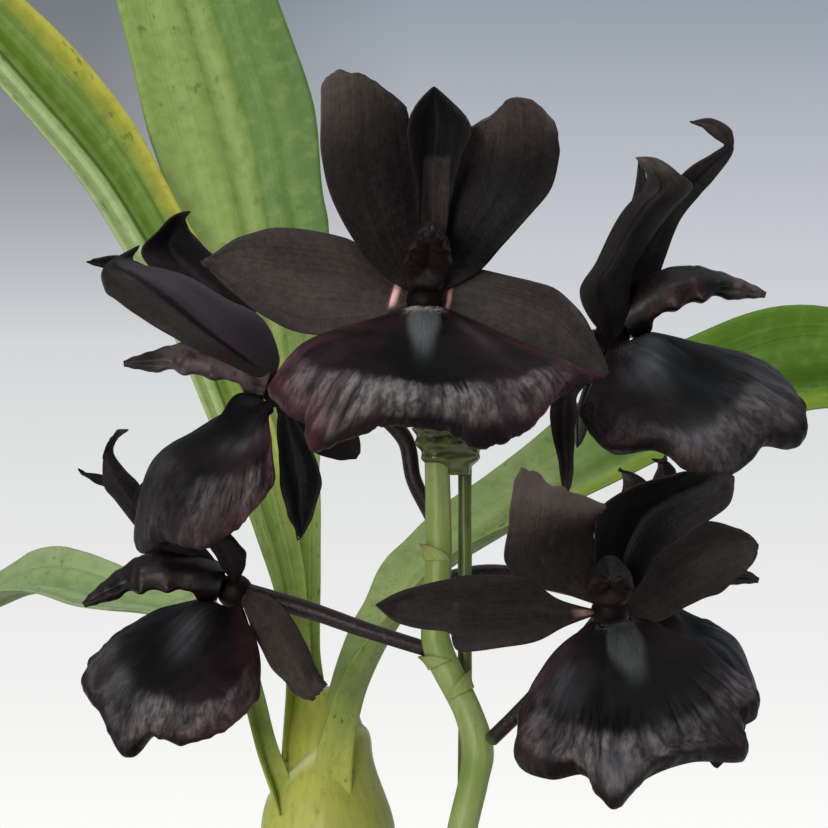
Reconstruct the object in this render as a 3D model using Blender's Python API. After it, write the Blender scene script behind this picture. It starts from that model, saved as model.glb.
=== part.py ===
"""A black-flowered orchid of the catasetum kind, growing in a round clay pot.

Run it with blender --background --python part.py. The scene is in metres with +Z up, and the origin is the centre of the
pot's foot. The flowers face -Y and to both sides. Every size below is in millimetres, and MM turns it into metres.
"""

import math
import random
from collections import namedtuple

import bmesh
import bpy
from mathutils import Matrix, Vector, noise

MM = 0.001
GAP = 0.35  # clearance that touching pieces keep

# The pot and what fills it
POT_HEIGHT = 115
POT_FOOT_RADIUS = 45
POT_RIM_RADIUS = 66
POT_RIM_HEIGHT = 21
POT_RIM_STEP = 3.5
POT_WALL = 5
POT_FLOOR = 8
POT_DRAINS = 3
POT_DRAIN_RADIUS = 5
POT_DRAIN_RING = 24
POT_SIDES = 32
BARK_TOP = 101
BARK_SEED = 11
BARK_CHIPS = 40
CHIP_LENGTH = (9, 17)
CHIP_DEPTH = 12

# The growths: the foot, the top and the widest radius of each swollen stem
LEAFY_BULB_FOOT = (-7, 8, 90)
LEAFY_BULB_TOP = (-12.3, 13, 226)
LEAFY_BULB_RADIUS = 19
BACK_BULBS = {
    "back_bulb_right": ((27, 19, 92), (33, 24, 182), 14.5),
    "back_bulb_left": ((-30.5, 32.5, 92), (-34, 38, 168), 10.3),
}
BULB_SIDES = 16
BULB_OUTLINE = ((0, 0.5), (0.1, 0.82), (0.22, 0.97), (0.36, 1), (0.5, 0.94), (0.65, 0.8), (0.8, 0.62), (0.92, 0.42), (1, 0.3))
SHEATH_STEP = 0.9
SHEATHS = ((0.30, 0.10, 200), (0.55, 0.13, 20), (0.80, 0.10, 215))

# The flower spike, its stake and the clip that ties them
SPIKE_ROUTE = (
    (5.3, -7.6, 97, 3.2), (6, -10.5, 109, 3.2), (7, -15.5, 122, 3.1), (8, -20, 140, 2.9), (9.5, -22, 160, 2.8), (11, -23, 180, 2.75),
    (13, -23, 200, 2.7), (15.6, -23, 212, 2.7), (16.4, -23, 218, 2.9), (14.5, -22.5, 225, 2.55), (9.6, -21.5, 235, 2.7),
    (8.8, -21, 241, 2.5), (9.4, -20.5, 252, 2.4), (9.3, -20.5, 263, 2.3), (9, -20.5, 273, 2.2), (8.6, -20.5, 280, 2.3),
)
STAKE_X, STAKE_Y = 14.2, -16.6
STAKE_RADIUS = 1.25
STAKE_FOOT, STAKE_TOP = 30, 290
CLIP_LOW, CLIP_HIGH = 267, 275.5
CLIP_LENGTH, CLIP_WIDTH = 13.8, 8.8
CLIP_WALL = 1.2
CLIP_FLARE = 1.2

# Leaves: route from the growth to the tip, the way the upper face looks at both ends, widths along the route and fold angle
Leaf = namedtuple("Leaf", "route face face_end widths fold")
LEAVES = {
    "leaf_tall": Leaf(
        ((-14.5, 20, 215), (-15.3, 21, 225), (-16.1, 22, 234.5), (-16.6, 25, 250), (-17.3, 29, 265), (-19.7, 36, 280.5),
         (-23.6, 45, 298.5), (-27.8, 54, 317), (-33.4, 66, 340), (-41.2, 80, 364.5), (-47.5, 97, 390), (-54, 120, 422), (-62, 150, 455)),
        (0.15, -1, 0.1), (0.15, -1, 0.1), ((0, 11), (0.17, 9), (0.33, 8.5), (0.42, 14), (0.5, 24), (0.58, 31), (0.66, 35), (0.76, 33), (0.86, 34), (0.95, 20), (1, 0)), 12),
    "leaf_left": Leaf(
        ((-17.9, 12, 212.5), (-17.5, 12, 224), (-18, 11, 235), (-19.5, 13, 245), (-22.5, 16, 256), (-26.5, 21, 268), (-31.6, 27, 280.5),
         (-38.5, 35, 297), (-47.5, 43, 312), (-58, 51, 328), (-73.3, 60, 346), (-88, 68, 362), (-110, 82, 385), (-138, 98, 405)),
        (0.2, -0.9, 0.35), (0.4, -0.9, 0.35), ((0, 11), (0.15, 9), (0.3, 11), (0.45, 14.5), (0.6, 18), (0.75, 21.5), (0.88, 19), (1, 0)), 32),
    "leaf_right": Leaf(
        ((-7, 3, 206), (-6.6, 3, 215), (-4.8, 5.5, 224.5), (-1.8, 9, 232), (2.2, 14, 239), (6.8, 19, 245), (13.4, 25, 250), (22.8, 32, 255.5),
         (36.4, 40, 263), (52, 48, 271), (70, 55, 279), (89, 62, 284), (115, 70, 281), (146, 78, 266)),
        (-0.4, 0.35, 1), (-0.25, -1.1, 0.6), ((0, 13), (0.15, 13.5), (0.3, 16), (0.42, 20), (0.55, 27), (0.7, 33), (0.82, 36), (0.92, 26), (1, 0)), 28),
    "leaf_low_left": Leaf(
        ((-20, 7, 203), (-23.2, 7.5, 213), (-26, 10, 224), (-29.5, 16, 232), (-35.3, 24, 237), (-43.6, 33, 239.5), (-55, 42, 241),
         (-66, 50, 243), (-76, 57, 241), (-92, 68, 231), (-113, 80, 205)),
        (0.1, -0.55, 0.8), (0.1, -0.45, 0.85), ((0, 9), (0.2, 7), (0.35, 9), (0.5, 14), (0.65, 19), (0.8, 24), (0.9, 20), (1, 0)), 20),
    "leaf_low_right": Leaf(
        ((4, 14, 158), (12, 19, 171), (25, 25, 181), (43, 31, 186), (67, 37, 185), (97, 42, 175), (127, 47, 155), (151, 51, 128)),
        (0.1, -0.2, 1), (0.1, -0.4, 0.9), ((0, 10), (0.15, 9), (0.3, 15), (0.5, 27), (0.68, 34), (0.85, 26), (1, 0)), 18),
    "leaf_low_back": Leaf(
        ((-18, 22, 158), (-26, 28, 168), (-38, 38, 175), (-54, 52, 178), (-73, 70, 174), (-94, 90, 161), (-112, 108, 140), (-124, 122, 114)),
        (0.3, -0.3, 1), (0.2, 0.1, 1), ((0, 11), (0.15, 9), (0.3, 13), (0.5, 25), (0.68, 34), (0.85, 28), (1, 0)), 18),
}
LEAF_ROWS, LEAF_COLUMNS = 15, 6
LEAF_THICKNESS = 0.9
PLEAT_DEPTH = 0.6
# The stalk of a leaf is rolled into a channel, which opens out between these shares of its length
CHANNEL_OPENS = (0.12, 0.45)
CHANNEL_FOLD = 58

# Flowers. Offsets run from the middle of the flower to the tip of each piece
Tepal = namedtuple("Tepal", "tip face width outline bow cup curl")
Lip = namedtuple("Lip", "along face length spread bend droop roll hollow point")
Column = namedtuple("Column", "tip arch")
Flower = namedtuple("Flower", "centre stalk tepals lip column")
SEPAL = "sepal"
PETAL = "petal"
FLOWERS = {
    "flower_top": Flower(
        (6.9, -46, 297.5),
        ((8.6, -20.8, 278.8), (8.6, -26, 284), (8.3, -33, 290), (7.4, -40, 295)),
        {
            "dorsal": Tepal((1.9, -1, 37), (0, -1, 0.1), 15, SEPAL, -1.5, 55, 0),
            "petal_left": Tepal((-12, -8, 38), (0.3, -1, 0.1), 18, PETAL, -2, 28, -15),
            "petal_right": Tepal((18.5, -8, 34), (-0.3, -1, 0.1), 17.5, PETAL, -2, 28, -15),
            "sepal_left": Tepal((-38.5, 0, 7), (0.1, -1, 0.15), 18, SEPAL, -1, 14, 0),
            "sepal_right": Tepal((31.5, -3, -13), (-0.1, -0.9, 0.5), 16.5, SEPAL, -1, 14, 0),
        },
        Lip((0, -0.9, -0.43), (0, -0.3, 1), 28, 78, 42, 30, 7, 2.5, -0.08),
        Column((1.2, -22, 12), 6),
    ),
    "flower_upper_left": Flower(
        (-18.6, -33, 282.3),
        ((8.5, -19.8, 259), (5, -16.5, 266), (3, -16, 274), (-5, -20, 280.5), (-13, -28, 282)),
        {
            "dorsal": Tepal((-34, 3, 23.5), (-0.45, -0.1, -0.9), 13, SEPAL, -2, 35, 0),
            "petal_left": Tepal((-31.5, -8, 18.5), (-0.3, 0.75, -0.6), 16.5, PETAL, -3, 30, -75),
            "petal_right": Tepal((-17.5, 9, 32), (-0.45, -0.85, -0.2), 14.5, SEPAL, -2, 15, -20),
            "sepal_left": Tepal((4, -7, -26.5), (-0.5, 0.8, 0), 10.5, SEPAL, -3, 25, 0),
            "sepal_right": Tepal((13, 9, -12.5), (-0.6, -0.5, 0.4), 12, SEPAL, -1, 20, 0),
        },
        Lip((-0.96, -0.1, -0.22), (-0.25, -0.3, 0.92), 31.5, 74, 42, 68, 2, 2, 0.06),
        Column((-27.5, -1, 4.5), 2.5),
    ),
    "flower_upper_right": Flower(
        (40.5, -22, 291.8),
        ((9.5, -21, 277.8), (15.5, -22, 283), (25, -21, 288.5), (34.5, -21.5, 291)),
        {
            "dorsal": Tepal((7, 1, 31), (0.95, -0.1, -0.2), 14, SEPAL, -2, 35, -20),
            "petal_left": Tepal((11, -8, 33.5), (0.85, 0.5, -0.2), 16, PETAL, -5, 26, -70),
            "petal_right": Tepal((28, 8, 42), (0.7, -0.6, -0.4), 14, SEPAL, -4, 22, -140),
            "sepal_left": Tepal((-8.8, -9, -27.5), (0.95, 0.25, 0), 8, SEPAL, -4, 30, 0),
            "sepal_right": Tepal((-5, 12, -20), (0.85, -0.35, 0), 12, SEPAL, -2, 20, 0),
        },
        Lip((0.98, -0.1, -0.12), (0.15, -0.35, 0.9), 38, 88, 45, 76, 3, 2, 0.08),
        Column((27.5, -1, 7), 6),
    ),
    "flower_lower_left": Flower(
        (-27.6, -12, 245.6),
        ((8, -20.8, 235.5), (-4, -19.5, 239.2), (-14, -17, 242.5), (-22, -13.8, 244.8)),
        {
            "dorsal": Tepal((-22, 11, 20), (-0.6, -0.1, -0.7), 11, SEPAL, -2, 35, -20),
            "petal_left": Tepal((-29.5, 5, 21), (-0.4, 0.6, -0.65), 11, SEPAL, -3, 20, -60),
            "petal_right": Tepal((-20.5, 18, 30), (-0.5, -0.7, -0.5), 12, SEPAL, -2, 20, -80),
            "sepal_left": Tepal((15.8, -8, -18), (-0.5, 0.8, -0.2), 10.5, SEPAL, -2, 18, -50),
            "sepal_right": Tepal((-2, 14, -20), (-0.8, -0.5, -0.2), 11, SEPAL, -2, 15, 0),
        },
        Lip((-0.98, -0.1, -0.1), (-0.2, -0.35, 0.92), 34, 86, 45, 60, 2, 2, 0.1),
        Column((-27.5, -1, -2.4), 6),
    ),
    "flower_lower_right": Flower(
        (38.3, -55, 244.3),
        ((18.9, -25, 220), (26, -34, 228), (33, -45, 237), (36.5, -51, 242)),
        {
            "dorsal": Tepal((9, -13, 24.5), (-0.1, -0.7, -0.7), 14, SEPAL, -2, 40, -30),
            "petal_left": Tepal((-12, -17, 22.5), (0.4, -0.8, -0.4), 19, PETAL, -2, 20, -15),
            "petal_right": Tepal((18.5, -9, 24), (-0.6, -0.7, -0.4), 16, PETAL, -2, 25, -30),
            "sepal_left": Tepal((-39, -6, 0.5), (0.1, -1, 0.3), 13, SEPAL, 1, 35, 0),
            "sepal_right": Tepal((26, 10, 11.5), (0.25, -0.9, 0.2), 14, SEPAL, -1, 12, 0),
        },
        Lip((0.32, -0.42, -0.84), (0.25, -0.85, 0.45), 28.5, 58, 30, 30, 5, 4, 0.24),
        Column((-1, -22, 7), 6),
    ),
    "flower_back_right": Flower(
        (45, 5, 243.3),
        ((9.3, -19.5, 246), (11.5, -11.5, 248), (22, -4.5, 248.5), (39.2, 3, 244.8)),
        {
            "dorsal": Tepal((8, 4, 27), (0.9, -0.1, -0.4), 12, SEPAL, -2, 30, 0),
            "petal_left": Tepal((3, -4, 26), (0.8, 0.5, -0.3), 12, SEPAL, -2, 20, -90),
            "petal_right": Tepal((10, 13, 24), (0.75, -0.55, -0.4), 13, PETAL, -2, 20, -40),
            "sepal_left": Tepal((-6, -8, -22), (0.8, 0.5, 0), 10, SEPAL, -2, 20, 0),
            "sepal_right": Tepal((-5, 12, -20), (0.85, -0.35, 0), 11, SEPAL, -2, 20, 0),
        },
        Lip((0.97, 0, -0.2), (0.25, -0.3, 0.9), 30, 68, 40, 70, 3, 2, 0.05),
        Column((24.5, 0, 3.5), 4),
    ),
}
HUB_RADIUS = 3.3
TEPAL_THICKNESS = 0.9
LIP_THICKNESS = 1.5
TEPAL_ROWS, TEPAL_COLUMNS = 7, 4
LIP_ROWS, LIP_COLUMNS = 7, 10
# Reach of the lip's rim, as a share of its length, from its middle to the end of each side lobe
LIP_OUTLINE = ((0, 0.96), (0.3, 0.98), (0.55, 1.1), (0.74, 1.12), (0.9, 0.98), (1, 0.7))
CALLUS = 2.2
RIM_WAVE = 0.9
# Half width along a piece: base share, power towards the base, power towards the tip
OUTLINES = {SEPAL: (0.30, 0.75, 0.62), PETAL: (0.26, 1.1, 0.36)}
CURL_START = 0.72
COLUMN_RINGS = ((0, 2.3, 2.6), (0.15, 3.0, 3.4), (0.35, 3.7, 4.3), (0.55, 4.2, 4.4), (0.68, 3.5, 3.6), (0.76, 2.4, 2.4), (0.88, 1.7, 1.4), (1, 0.8, 0.7))
COLUMN_SIDES = 8
STALK_RADIUS = 1.35
STALK_END_RADIUS = 1.9


def clear_scene():
    for obj in list(bpy.data.objects):
        bpy.data.objects.remove(obj)


def material(name, colour, roughness, metallic=0.0):
    made = bpy.data.materials.new(name)
    made.use_nodes = True
    shader = made.node_tree.nodes["Principled BSDF"]
    shader.inputs["Base Color"].default_value = (*colour, 1)
    shader.inputs["Roughness"].default_value = roughness
    shader.inputs["Metallic"].default_value = metallic
    return made


def add_object(name, mesh, finish=None):
    obj = bpy.data.objects.new(name, mesh)
    bpy.context.scene.collection.objects.link(obj)
    if finish:
        mesh.materials.append(finish)
    return obj


def from_bmesh(name, bm, finish=None, smooth=True):
    mesh = bpy.data.meshes.new(name)
    bm.to_mesh(mesh)
    bm.free()
    if smooth:
        mesh.shade_smooth()
    return add_object(name, mesh, finish)


def bake(obj):
    """The object with its modifiers applied, so that what it was cut by or joined to can go."""
    graph = bpy.context.evaluated_depsgraph_get()
    mesh = bpy.data.meshes.new_from_object(obj.evaluated_get(graph))
    obj.modifiers.clear()
    obj.data = mesh
    return obj


def boolean(obj, others, operation):
    """Joins obj with all of others, or cuts them from it, in one step."""
    group = bpy.data.collections.new(obj.name + "_tools")
    bpy.context.scene.collection.children.link(group)
    for other in others:
        bpy.context.scene.collection.objects.unlink(other)
        group.objects.link(other)
    step = obj.modifiers.new(operation.lower(), "BOOLEAN")
    step.operation = operation
    step.operand_type = "COLLECTION"
    step.collection = group
    step.solver = "MANIFOLD"
    bake(obj)
    for other in others:
        bpy.data.objects.remove(other)
    bpy.data.collections.remove(group)
    return obj


def keep_largest(obj):
    """Drops the loose scraps that a cut leaves."""
    bm = bmesh.new()
    bm.from_mesh(obj.data)
    left = set(bm.verts)
    islands = []
    while left:
        island, stack = set(), [left.pop()]
        while stack:
            vert = stack.pop()
            island.add(vert)
            for edge in vert.link_edges:
                other = edge.other_vert(vert)
                if other in left:
                    left.remove(other)
                    stack.append(other)
        islands.append(island)
    islands.sort(key=len)
    bmesh.ops.delete(bm, geom=[vert for island in islands[:-1] for vert in island], context="VERTS")
    bm.to_mesh(obj.data)
    bm.free()
    return obj


def swollen(obj, by):
    """A copy of obj, larger by that much on every side, to cut room for it in a neighbour."""
    copy = add_object(obj.name + "_room", bpy.data.meshes.new_from_object(obj))
    bm = bmesh.new()
    bm.from_mesh(copy.data)
    bm.normal_update()
    moves = [(vert, vert.normal * by * MM * min(vert.calc_shell_factor(), 2.0)) for vert in bm.verts]
    for vert, move in moves:
        vert.co += move
    bm.to_mesh(copy.data)
    bm.free()
    return copy


def interpolate(points, share):
    """A value between the points of a short list of (place, value...), eased so that it has no corners."""
    for (a, *low), (b, *high) in zip(points, points[1:]):
        if share <= b:
            t = (share - a) / (b - a)
            t = t * t * (3 - 2 * t)
            return [x + (y - x) * t for x, y in zip(low, high)]
    return list(points[-1][1:])


def smooth_route(points, share):
    """A point on the smooth curve through all points (Catmull-Rom), with any radius carried along."""
    place = min(share, 0.99999) * (len(points) - 1)
    i = int(place)
    t = place - i
    p0, p1, p2, p3 = (points[min(max(k, 0), len(points) - 1)] for k in (i - 1, i, i + 1, i + 2))
    return [
        0.5 * (2 * b + (c - a) * t + (2 * a - 5 * b + 4 * c - d) * t * t + (3 * b - a - 3 * c + d) * t ** 3)
        for a, b, c, d in zip(p0, p1, p2, p3)
    ]


def sheet_from_grid(name, rows, columns, place, thickness, finish=None):
    """A thin closed piece: a grid whose points go where place(u, v) says, u from base to tip and v from -1 to 1."""
    bm = bmesh.new()
    bmesh.ops.create_grid(bm, x_segments=columns, y_segments=rows, size=1)
    for vert in bm.verts:
        vert.co = place((vert.co.y + 1) / 2, vert.co.x) * MM
    bmesh.ops.remove_doubles(bm, verts=bm.verts, dist=0.05 * MM)
    bmesh.ops.triangulate(bm, faces=bm.faces)
    obj = from_bmesh(name, bm, finish)
    wall = obj.modifiers.new("thickness", "SOLIDIFY")
    wall.thickness = thickness * MM
    wall.offset = 0
    return bake(obj)


def tepal_surface(start, end, tepal):
    """The middle surface of a sepal or petal that runs from start to end, in millimetres."""
    span = end - start
    length = span.length
    along = span.normalized()
    side = along.cross(Vector(tepal.face)).normalized()
    face = side.cross(along)
    bow = face * tepal.bow
    base_share, base_power, tip_power = OUTLINES[tepal.outline]
    peak = base_power / (base_power + tip_power)
    highest = peak ** base_power * (1 - peak) ** tip_power
    curl = math.radians(tepal.curl)
    cup = math.radians(tepal.cup)

    def place(u, v):
        # the rows crowd towards the tip, where the outline turns fastest
        u = 1 - (1 - u) ** 1.35
        shared = min(u, CURL_START)
        point = start + span * shared + bow * 4 * shared * (1 - shared)
        tangent = (span + bow * 4 * (1 - 2 * shared)).normalized()
        normal = side.cross(tangent)
        if u > CURL_START:
            run = (u - CURL_START) * length
            bend = curl * (u - CURL_START) / (1 - CURL_START)
            if abs(curl) > 0.01:
                radius = run / bend
                point = point + tangent * radius * math.sin(bend) + normal * radius * (1 - math.cos(bend))
            else:
                point = point + tangent * run
            normal = normal * math.cos(bend) - tangent * math.sin(bend)
        width = tepal.width / 2 * (base_share * (1 - u) ** 2 + u ** base_power * (1 - u) ** tip_power / highest)
        if abs(cup) < 0.01:
            return point + side * v * width
        radius = width / cup
        return point + side * radius * math.sin(v * cup) + normal * radius * (1 - math.cos(v * cup))

    return place


def lip_surface(centre, lip):
    """The middle surface of the lip: a shell that fans out from under the column, droops at the sides and rolls at its rim."""
    along = Vector(lip.along).normalized()
    side = along.cross(Vector(lip.face)).normalized()
    up = side.cross(along)
    spread, droop, bend = (math.radians(angle) for angle in (lip.spread, lip.droop, lip.bend))
    root = HUB_RADIUS + GAP + LIP_THICKNESS / 2 + 0.2

    def place(u, v):
        turn = v * spread
        reach = lip.length * (interpolate(LIP_OUTLINE, abs(v))[0] + lip.point * math.exp(-(v / 0.12) ** 2))
        run = root + (reach - root) * u
        ahead, aside = run * math.cos(turn), run * math.sin(turn)
        arch, sag = lip.length / bend, lip.length / droop
        height = arch * (math.cos(ahead / arch) - 1) + sag * (math.cos(aside / sag) - 1)
        height -= lip.hollow * math.exp(-(((run / lip.length - 0.42) / 0.2) ** 2) - (aside / 6.5) ** 2)
        height += CALLUS * math.exp(-(((run / lip.length - 0.2) / 0.12) ** 2) - (aside / 3) ** 2)
        height -= lip.roll * max(u - 0.72, 0) ** 2 / 0.0784
        height += RIM_WAVE * math.sin(turn * 9 + lip.length) * u ** 4
        return centre + along * arch * math.sin(ahead / arch) + side * sag * math.sin(aside / sag) + up * height

    return place


def loft(name, rings, finish=None):
    """A closed skin over rings of points: a circle that is extruded from ring to ring."""
    bm = bmesh.new()
    made = bmesh.ops.create_circle(bm, cap_ends=True, segments=len(rings[0]), radius=1)
    loop = made["verts"]
    for vert, point in zip(loop, rings[0]):
        vert.co = point * MM
    edges = [edge for edge in bm.edges if edge.is_boundary or len(edge.link_faces) == 1]
    for ring in rings[1:]:
        extruded = bmesh.ops.extrude_edge_only(bm, edges=edges)
        fresh = [item for item in extruded["geom"] if isinstance(item, bmesh.types.BMVert)]
        edges = [item for item in extruded["geom"] if isinstance(item, bmesh.types.BMEdge) and item.verts[0] in fresh and item.verts[1] in fresh]
        matched = {}
        for vert in loop:
            for edge in vert.link_edges:
                other = edge.other_vert(vert)
                if other in fresh:
                    matched[vert] = other
        loop = [matched[vert] for vert in loop]
        for vert, point in zip(loop, ring):
            vert.co = point * MM
    bmesh.ops.contextual_create(bm, geom=loop)
    bmesh.ops.recalc_face_normals(bm, faces=bm.faces)
    bmesh.ops.triangulate(bm, faces=[face for face in bm.faces if len(face.verts) > 4])
    return from_bmesh(name, bm, finish)


def tube(name, route, finish, resolution=2):
    """A round stem through points of (x, y, z, radius), which are close enough together to be joined straight."""
    curve = bpy.data.curves.new(name + "_route", "CURVE")
    curve.dimensions = "3D"
    curve.bevel_depth = MM
    curve.bevel_resolution = resolution
    curve.use_fill_caps = True
    spline = curve.splines.new("POLY")
    spline.points.add(len(route) - 1)
    for point, (x, y, z, radius) in zip(spline.points, route):
        point.co = (x * MM, y * MM, z * MM, 1)
        point.radius = radius
    guide = add_object(name + "_route", curve)
    graph = bpy.context.evaluated_depsgraph_get()
    bm = bmesh.new()
    bm.from_mesh(bpy.data.meshes.new_from_object(guide.evaluated_get(graph)))
    bpy.data.objects.remove(guide)
    bmesh.ops.remove_doubles(bm, verts=bm.verts, dist=0.001 * MM)
    return from_bmesh(name, bm, finish)


def turned(name, profile, sides, finish, closed=False):
    """A round piece: the profile of (radius, height) points, from axis to axis or closed to a ring, is spun once about Z."""
    bm = bmesh.new()
    verts = [bm.verts.new((radius * MM, 0, height * MM)) for radius, height in profile]
    ends = verts[1:] + verts[:1] if closed else verts[1:]
    edges = [bm.edges.new(pair) for pair in zip(verts, ends)]
    bmesh.ops.spin(bm, geom=verts + edges, cent=(0, 0, 0), axis=(0, 0, 1), angle=math.tau, steps=sides, use_merge=True)
    bmesh.ops.remove_doubles(bm, verts=bm.verts, dist=0.01 * MM)
    bmesh.ops.recalc_face_normals(bm, faces=bm.faces)
    obj = from_bmesh(name, bm, finish)
    obj.data.set_sharp_from_angle(angle=math.radians(35))
    return obj


def pot_inner_radius(height):
    share = (height - POT_FLOOR) / (POT_HEIGHT - POT_FLOOR)
    outer = POT_FOOT_RADIUS + (POT_RIM_RADIUS - POT_RIM_STEP - POT_FOOT_RADIUS) * share
    return outer - POT_WALL


def make_pot(finish):
    """A thrown clay pot with a stepped rim, a flat foot and a ring of drainage holes."""
    rim_foot = POT_HEIGHT - POT_RIM_HEIGHT
    body_top = POT_RIM_RADIUS - POT_RIM_STEP - 1.5
    profile = (
        (0, 0), (POT_FOOT_RADIUS - 1.5, 0), (POT_FOOT_RADIUS, 1.5), (body_top - 1, rim_foot - 1), (body_top, rim_foot),
        (POT_RIM_RADIUS - 1.5, rim_foot), (POT_RIM_RADIUS - 0.3, rim_foot + 1.5), (POT_RIM_RADIUS, POT_HEIGHT - 2),
        (POT_RIM_RADIUS - 1.5, POT_HEIGHT), (POT_RIM_RADIUS - 6, POT_HEIGHT), (POT_RIM_RADIUS - 7.5, POT_HEIGHT - 2),
        (pot_inner_radius(BARK_TOP), BARK_TOP), (pot_inner_radius(POT_FLOOR), POT_FLOOR), (0, POT_FLOOR),
    )
    pot = turned("pot", profile, POT_SIDES, finish)
    drains = []
    for index in range(POT_DRAINS):
        turn = math.tau * (index + 0.25) / POT_DRAINS
        bm = bmesh.new()
        bmesh.ops.create_cone(bm, cap_ends=True, segments=12, radius1=POT_DRAIN_RADIUS * MM, radius2=POT_DRAIN_RADIUS * MM, depth=3 * POT_FLOOR * MM)
        bmesh.ops.translate(bm, verts=bm.verts, vec=Vector((math.cos(turn), math.sin(turn), 0)) * POT_DRAIN_RING * MM)
        drains.append(from_bmesh(f"drain_{index}", bm))
    boolean(pot, drains, "DIFFERENCE")
    pot.data.set_sharp_from_angle(angle=math.radians(35))
    return pot


def bulb_axis(foot, top, share):
    return Vector(foot).lerp(Vector(top), share)


def bulb_radius(widest, share, turn, sheathed):
    radius = widest * interpolate(BULB_OUTLINE, share)[0]
    if sheathed:
        for height, slant, facing in SHEATHS:
            edge = height + slant * math.cos(turn - math.radians(facing))
            radius += SHEATH_STEP if share < edge else 0
    else:
        # a leafless growth keeps the rings where its leaves were
        radius += 0.5 * math.cos(share * 6 * math.tau) ** 8 - 0.4 * math.cos(turn * 5)
    return radius


def bulb(name, foot, top, widest, rings, sheathed, finish, grow=0.0):
    made = []
    for step in range(rings + 1):
        share = step / rings
        centre = bulb_axis(foot, top, share)
        made.append([
            centre + Vector((math.cos(turn), math.sin(turn), 0)) * (bulb_radius(widest, share, turn, sheathed) + grow)
            for turn in (math.tau * k / BULB_SIDES for k in range(BULB_SIDES))
        ])
    return loft(name, made, finish)


def bark_chip(index, centre, size, turn, tilt):
    """One chunk of bark: a block with uneven corners, set deep enough to leave no hollow under it."""
    bm = bmesh.new()
    bmesh.ops.create_cube(bm, size=1)
    for vert in bm.verts:
        vert.co += noise.noise_vector(vert.co * 2 + Vector((index, 0, 0))) * 0.22
    matrix = Matrix.Translation(centre) @ Matrix.Rotation(turn, 4, "Z") @ Matrix.Rotation(tilt, 4, "X") @ Matrix.Diagonal((*size, 1))
    bmesh.ops.transform(bm, matrix=Matrix.Scale(MM, 4) @ matrix, verts=bm.verts)
    return from_bmesh(f"chip_{index}", bm)


def make_bark(finish):
    """Orchid bark: a body that fills the pot, with loose chips standing out of its top."""
    radius = pot_inner_radius
    rim = radius(BARK_TOP) - GAP
    profile = ((0, POT_FLOOR + GAP), (radius(POT_FLOOR) - 2, POT_FLOOR + GAP), (rim - 1, BARK_TOP - 4), (rim - 3, BARK_TOP - 3), (0, BARK_TOP - 3))
    body = turned("bark", profile, POT_SIDES, finish)
    draw = random.Random(BARK_SEED)
    chips = []
    golden = math.pi * (3 - math.sqrt(5))
    reach = rim - 12
    for index in range(BARK_CHIPS):
        far = reach * math.sqrt((index + 0.5) / BARK_CHIPS)
        turn = index * golden + draw.uniform(-0.2, 0.2)
        long = draw.uniform(*CHIP_LENGTH)
        size = (long, long * draw.uniform(0.55, 0.8), CHIP_DEPTH)
        centre = (far * math.cos(turn), far * math.sin(turn), BARK_TOP - CHIP_DEPTH / 2 - draw.uniform(0, 2))
        chips.append(bark_chip(index, centre, size, draw.uniform(0, math.tau), draw.uniform(-0.35, 0.35)))
    return boolean(body, chips, "UNION")


def leaf_frame(leaf, share):
    step = 0.004
    low, high = max(share - step, 0), min(share + step, 1)
    point = Vector(smooth_route(leaf.route, share)[:3])
    along = (Vector(smooth_route(leaf.route, high)[:3]) - Vector(smooth_route(leaf.route, low)[:3])).normalized()
    side = along.cross(Vector(leaf.face).lerp(Vector(leaf.face_end), share)).normalized()
    return point, side, side.cross(along)


def leaf_surface(leaf):
    """The middle surface of a pleated leaf: a channelled stalk that opens into a long blade folded along its midrib."""

    def place(u, v):
        point, side, face = leaf_frame(leaf, u)
        low, high = CHANNEL_OPENS
        opening = interpolate(((0, 0), (low, 0), (high, 1), (1, 1)), u)[0]
        half = interpolate(leaf.widths, u)[0] / 2
        fold = math.radians(CHANNEL_FOLD + (leaf.fold - CHANNEL_FOLD) * opening)
        crest = 1 if round(abs(v) * LEAF_COLUMNS / 2) % 2 else -1
        pleat = PLEAT_DEPTH * opening * min(half / 8, 1) * (1 - abs(v)) * crest
        wave = 0.06 * half * math.sin(u * 19) * v * v * opening
        return point + side * v * half * math.cos(fold) + face * (abs(v) * half * math.sin(fold) + pleat + wave)

    return place


def make_leaf(name, leaf, finish):
    return sheet_from_grid(name, LEAF_ROWS, LEAF_COLUMNS, leaf_surface(leaf), LEAF_THICKNESS, finish)


def make_stalk(name, flower, finish):
    """The flower stalk, which swells into the ovary behind the flower."""
    centre = Vector(flower.centre)
    last = Vector(flower.stalk[-1])
    end = centre + (last - centre).normalized() * (HUB_RADIUS + GAP)
    points = [*flower.stalk[:-1], tuple(end)]
    count = 8
    route = []
    for step in range(count + 1):
        share = step / count
        radius = STALK_RADIUS + (STALK_END_RADIUS - STALK_RADIUS) * share ** 1.5
        route.append((*smooth_route(points, share), radius))
    return tube(name, route, finish, resolution=2)


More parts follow.
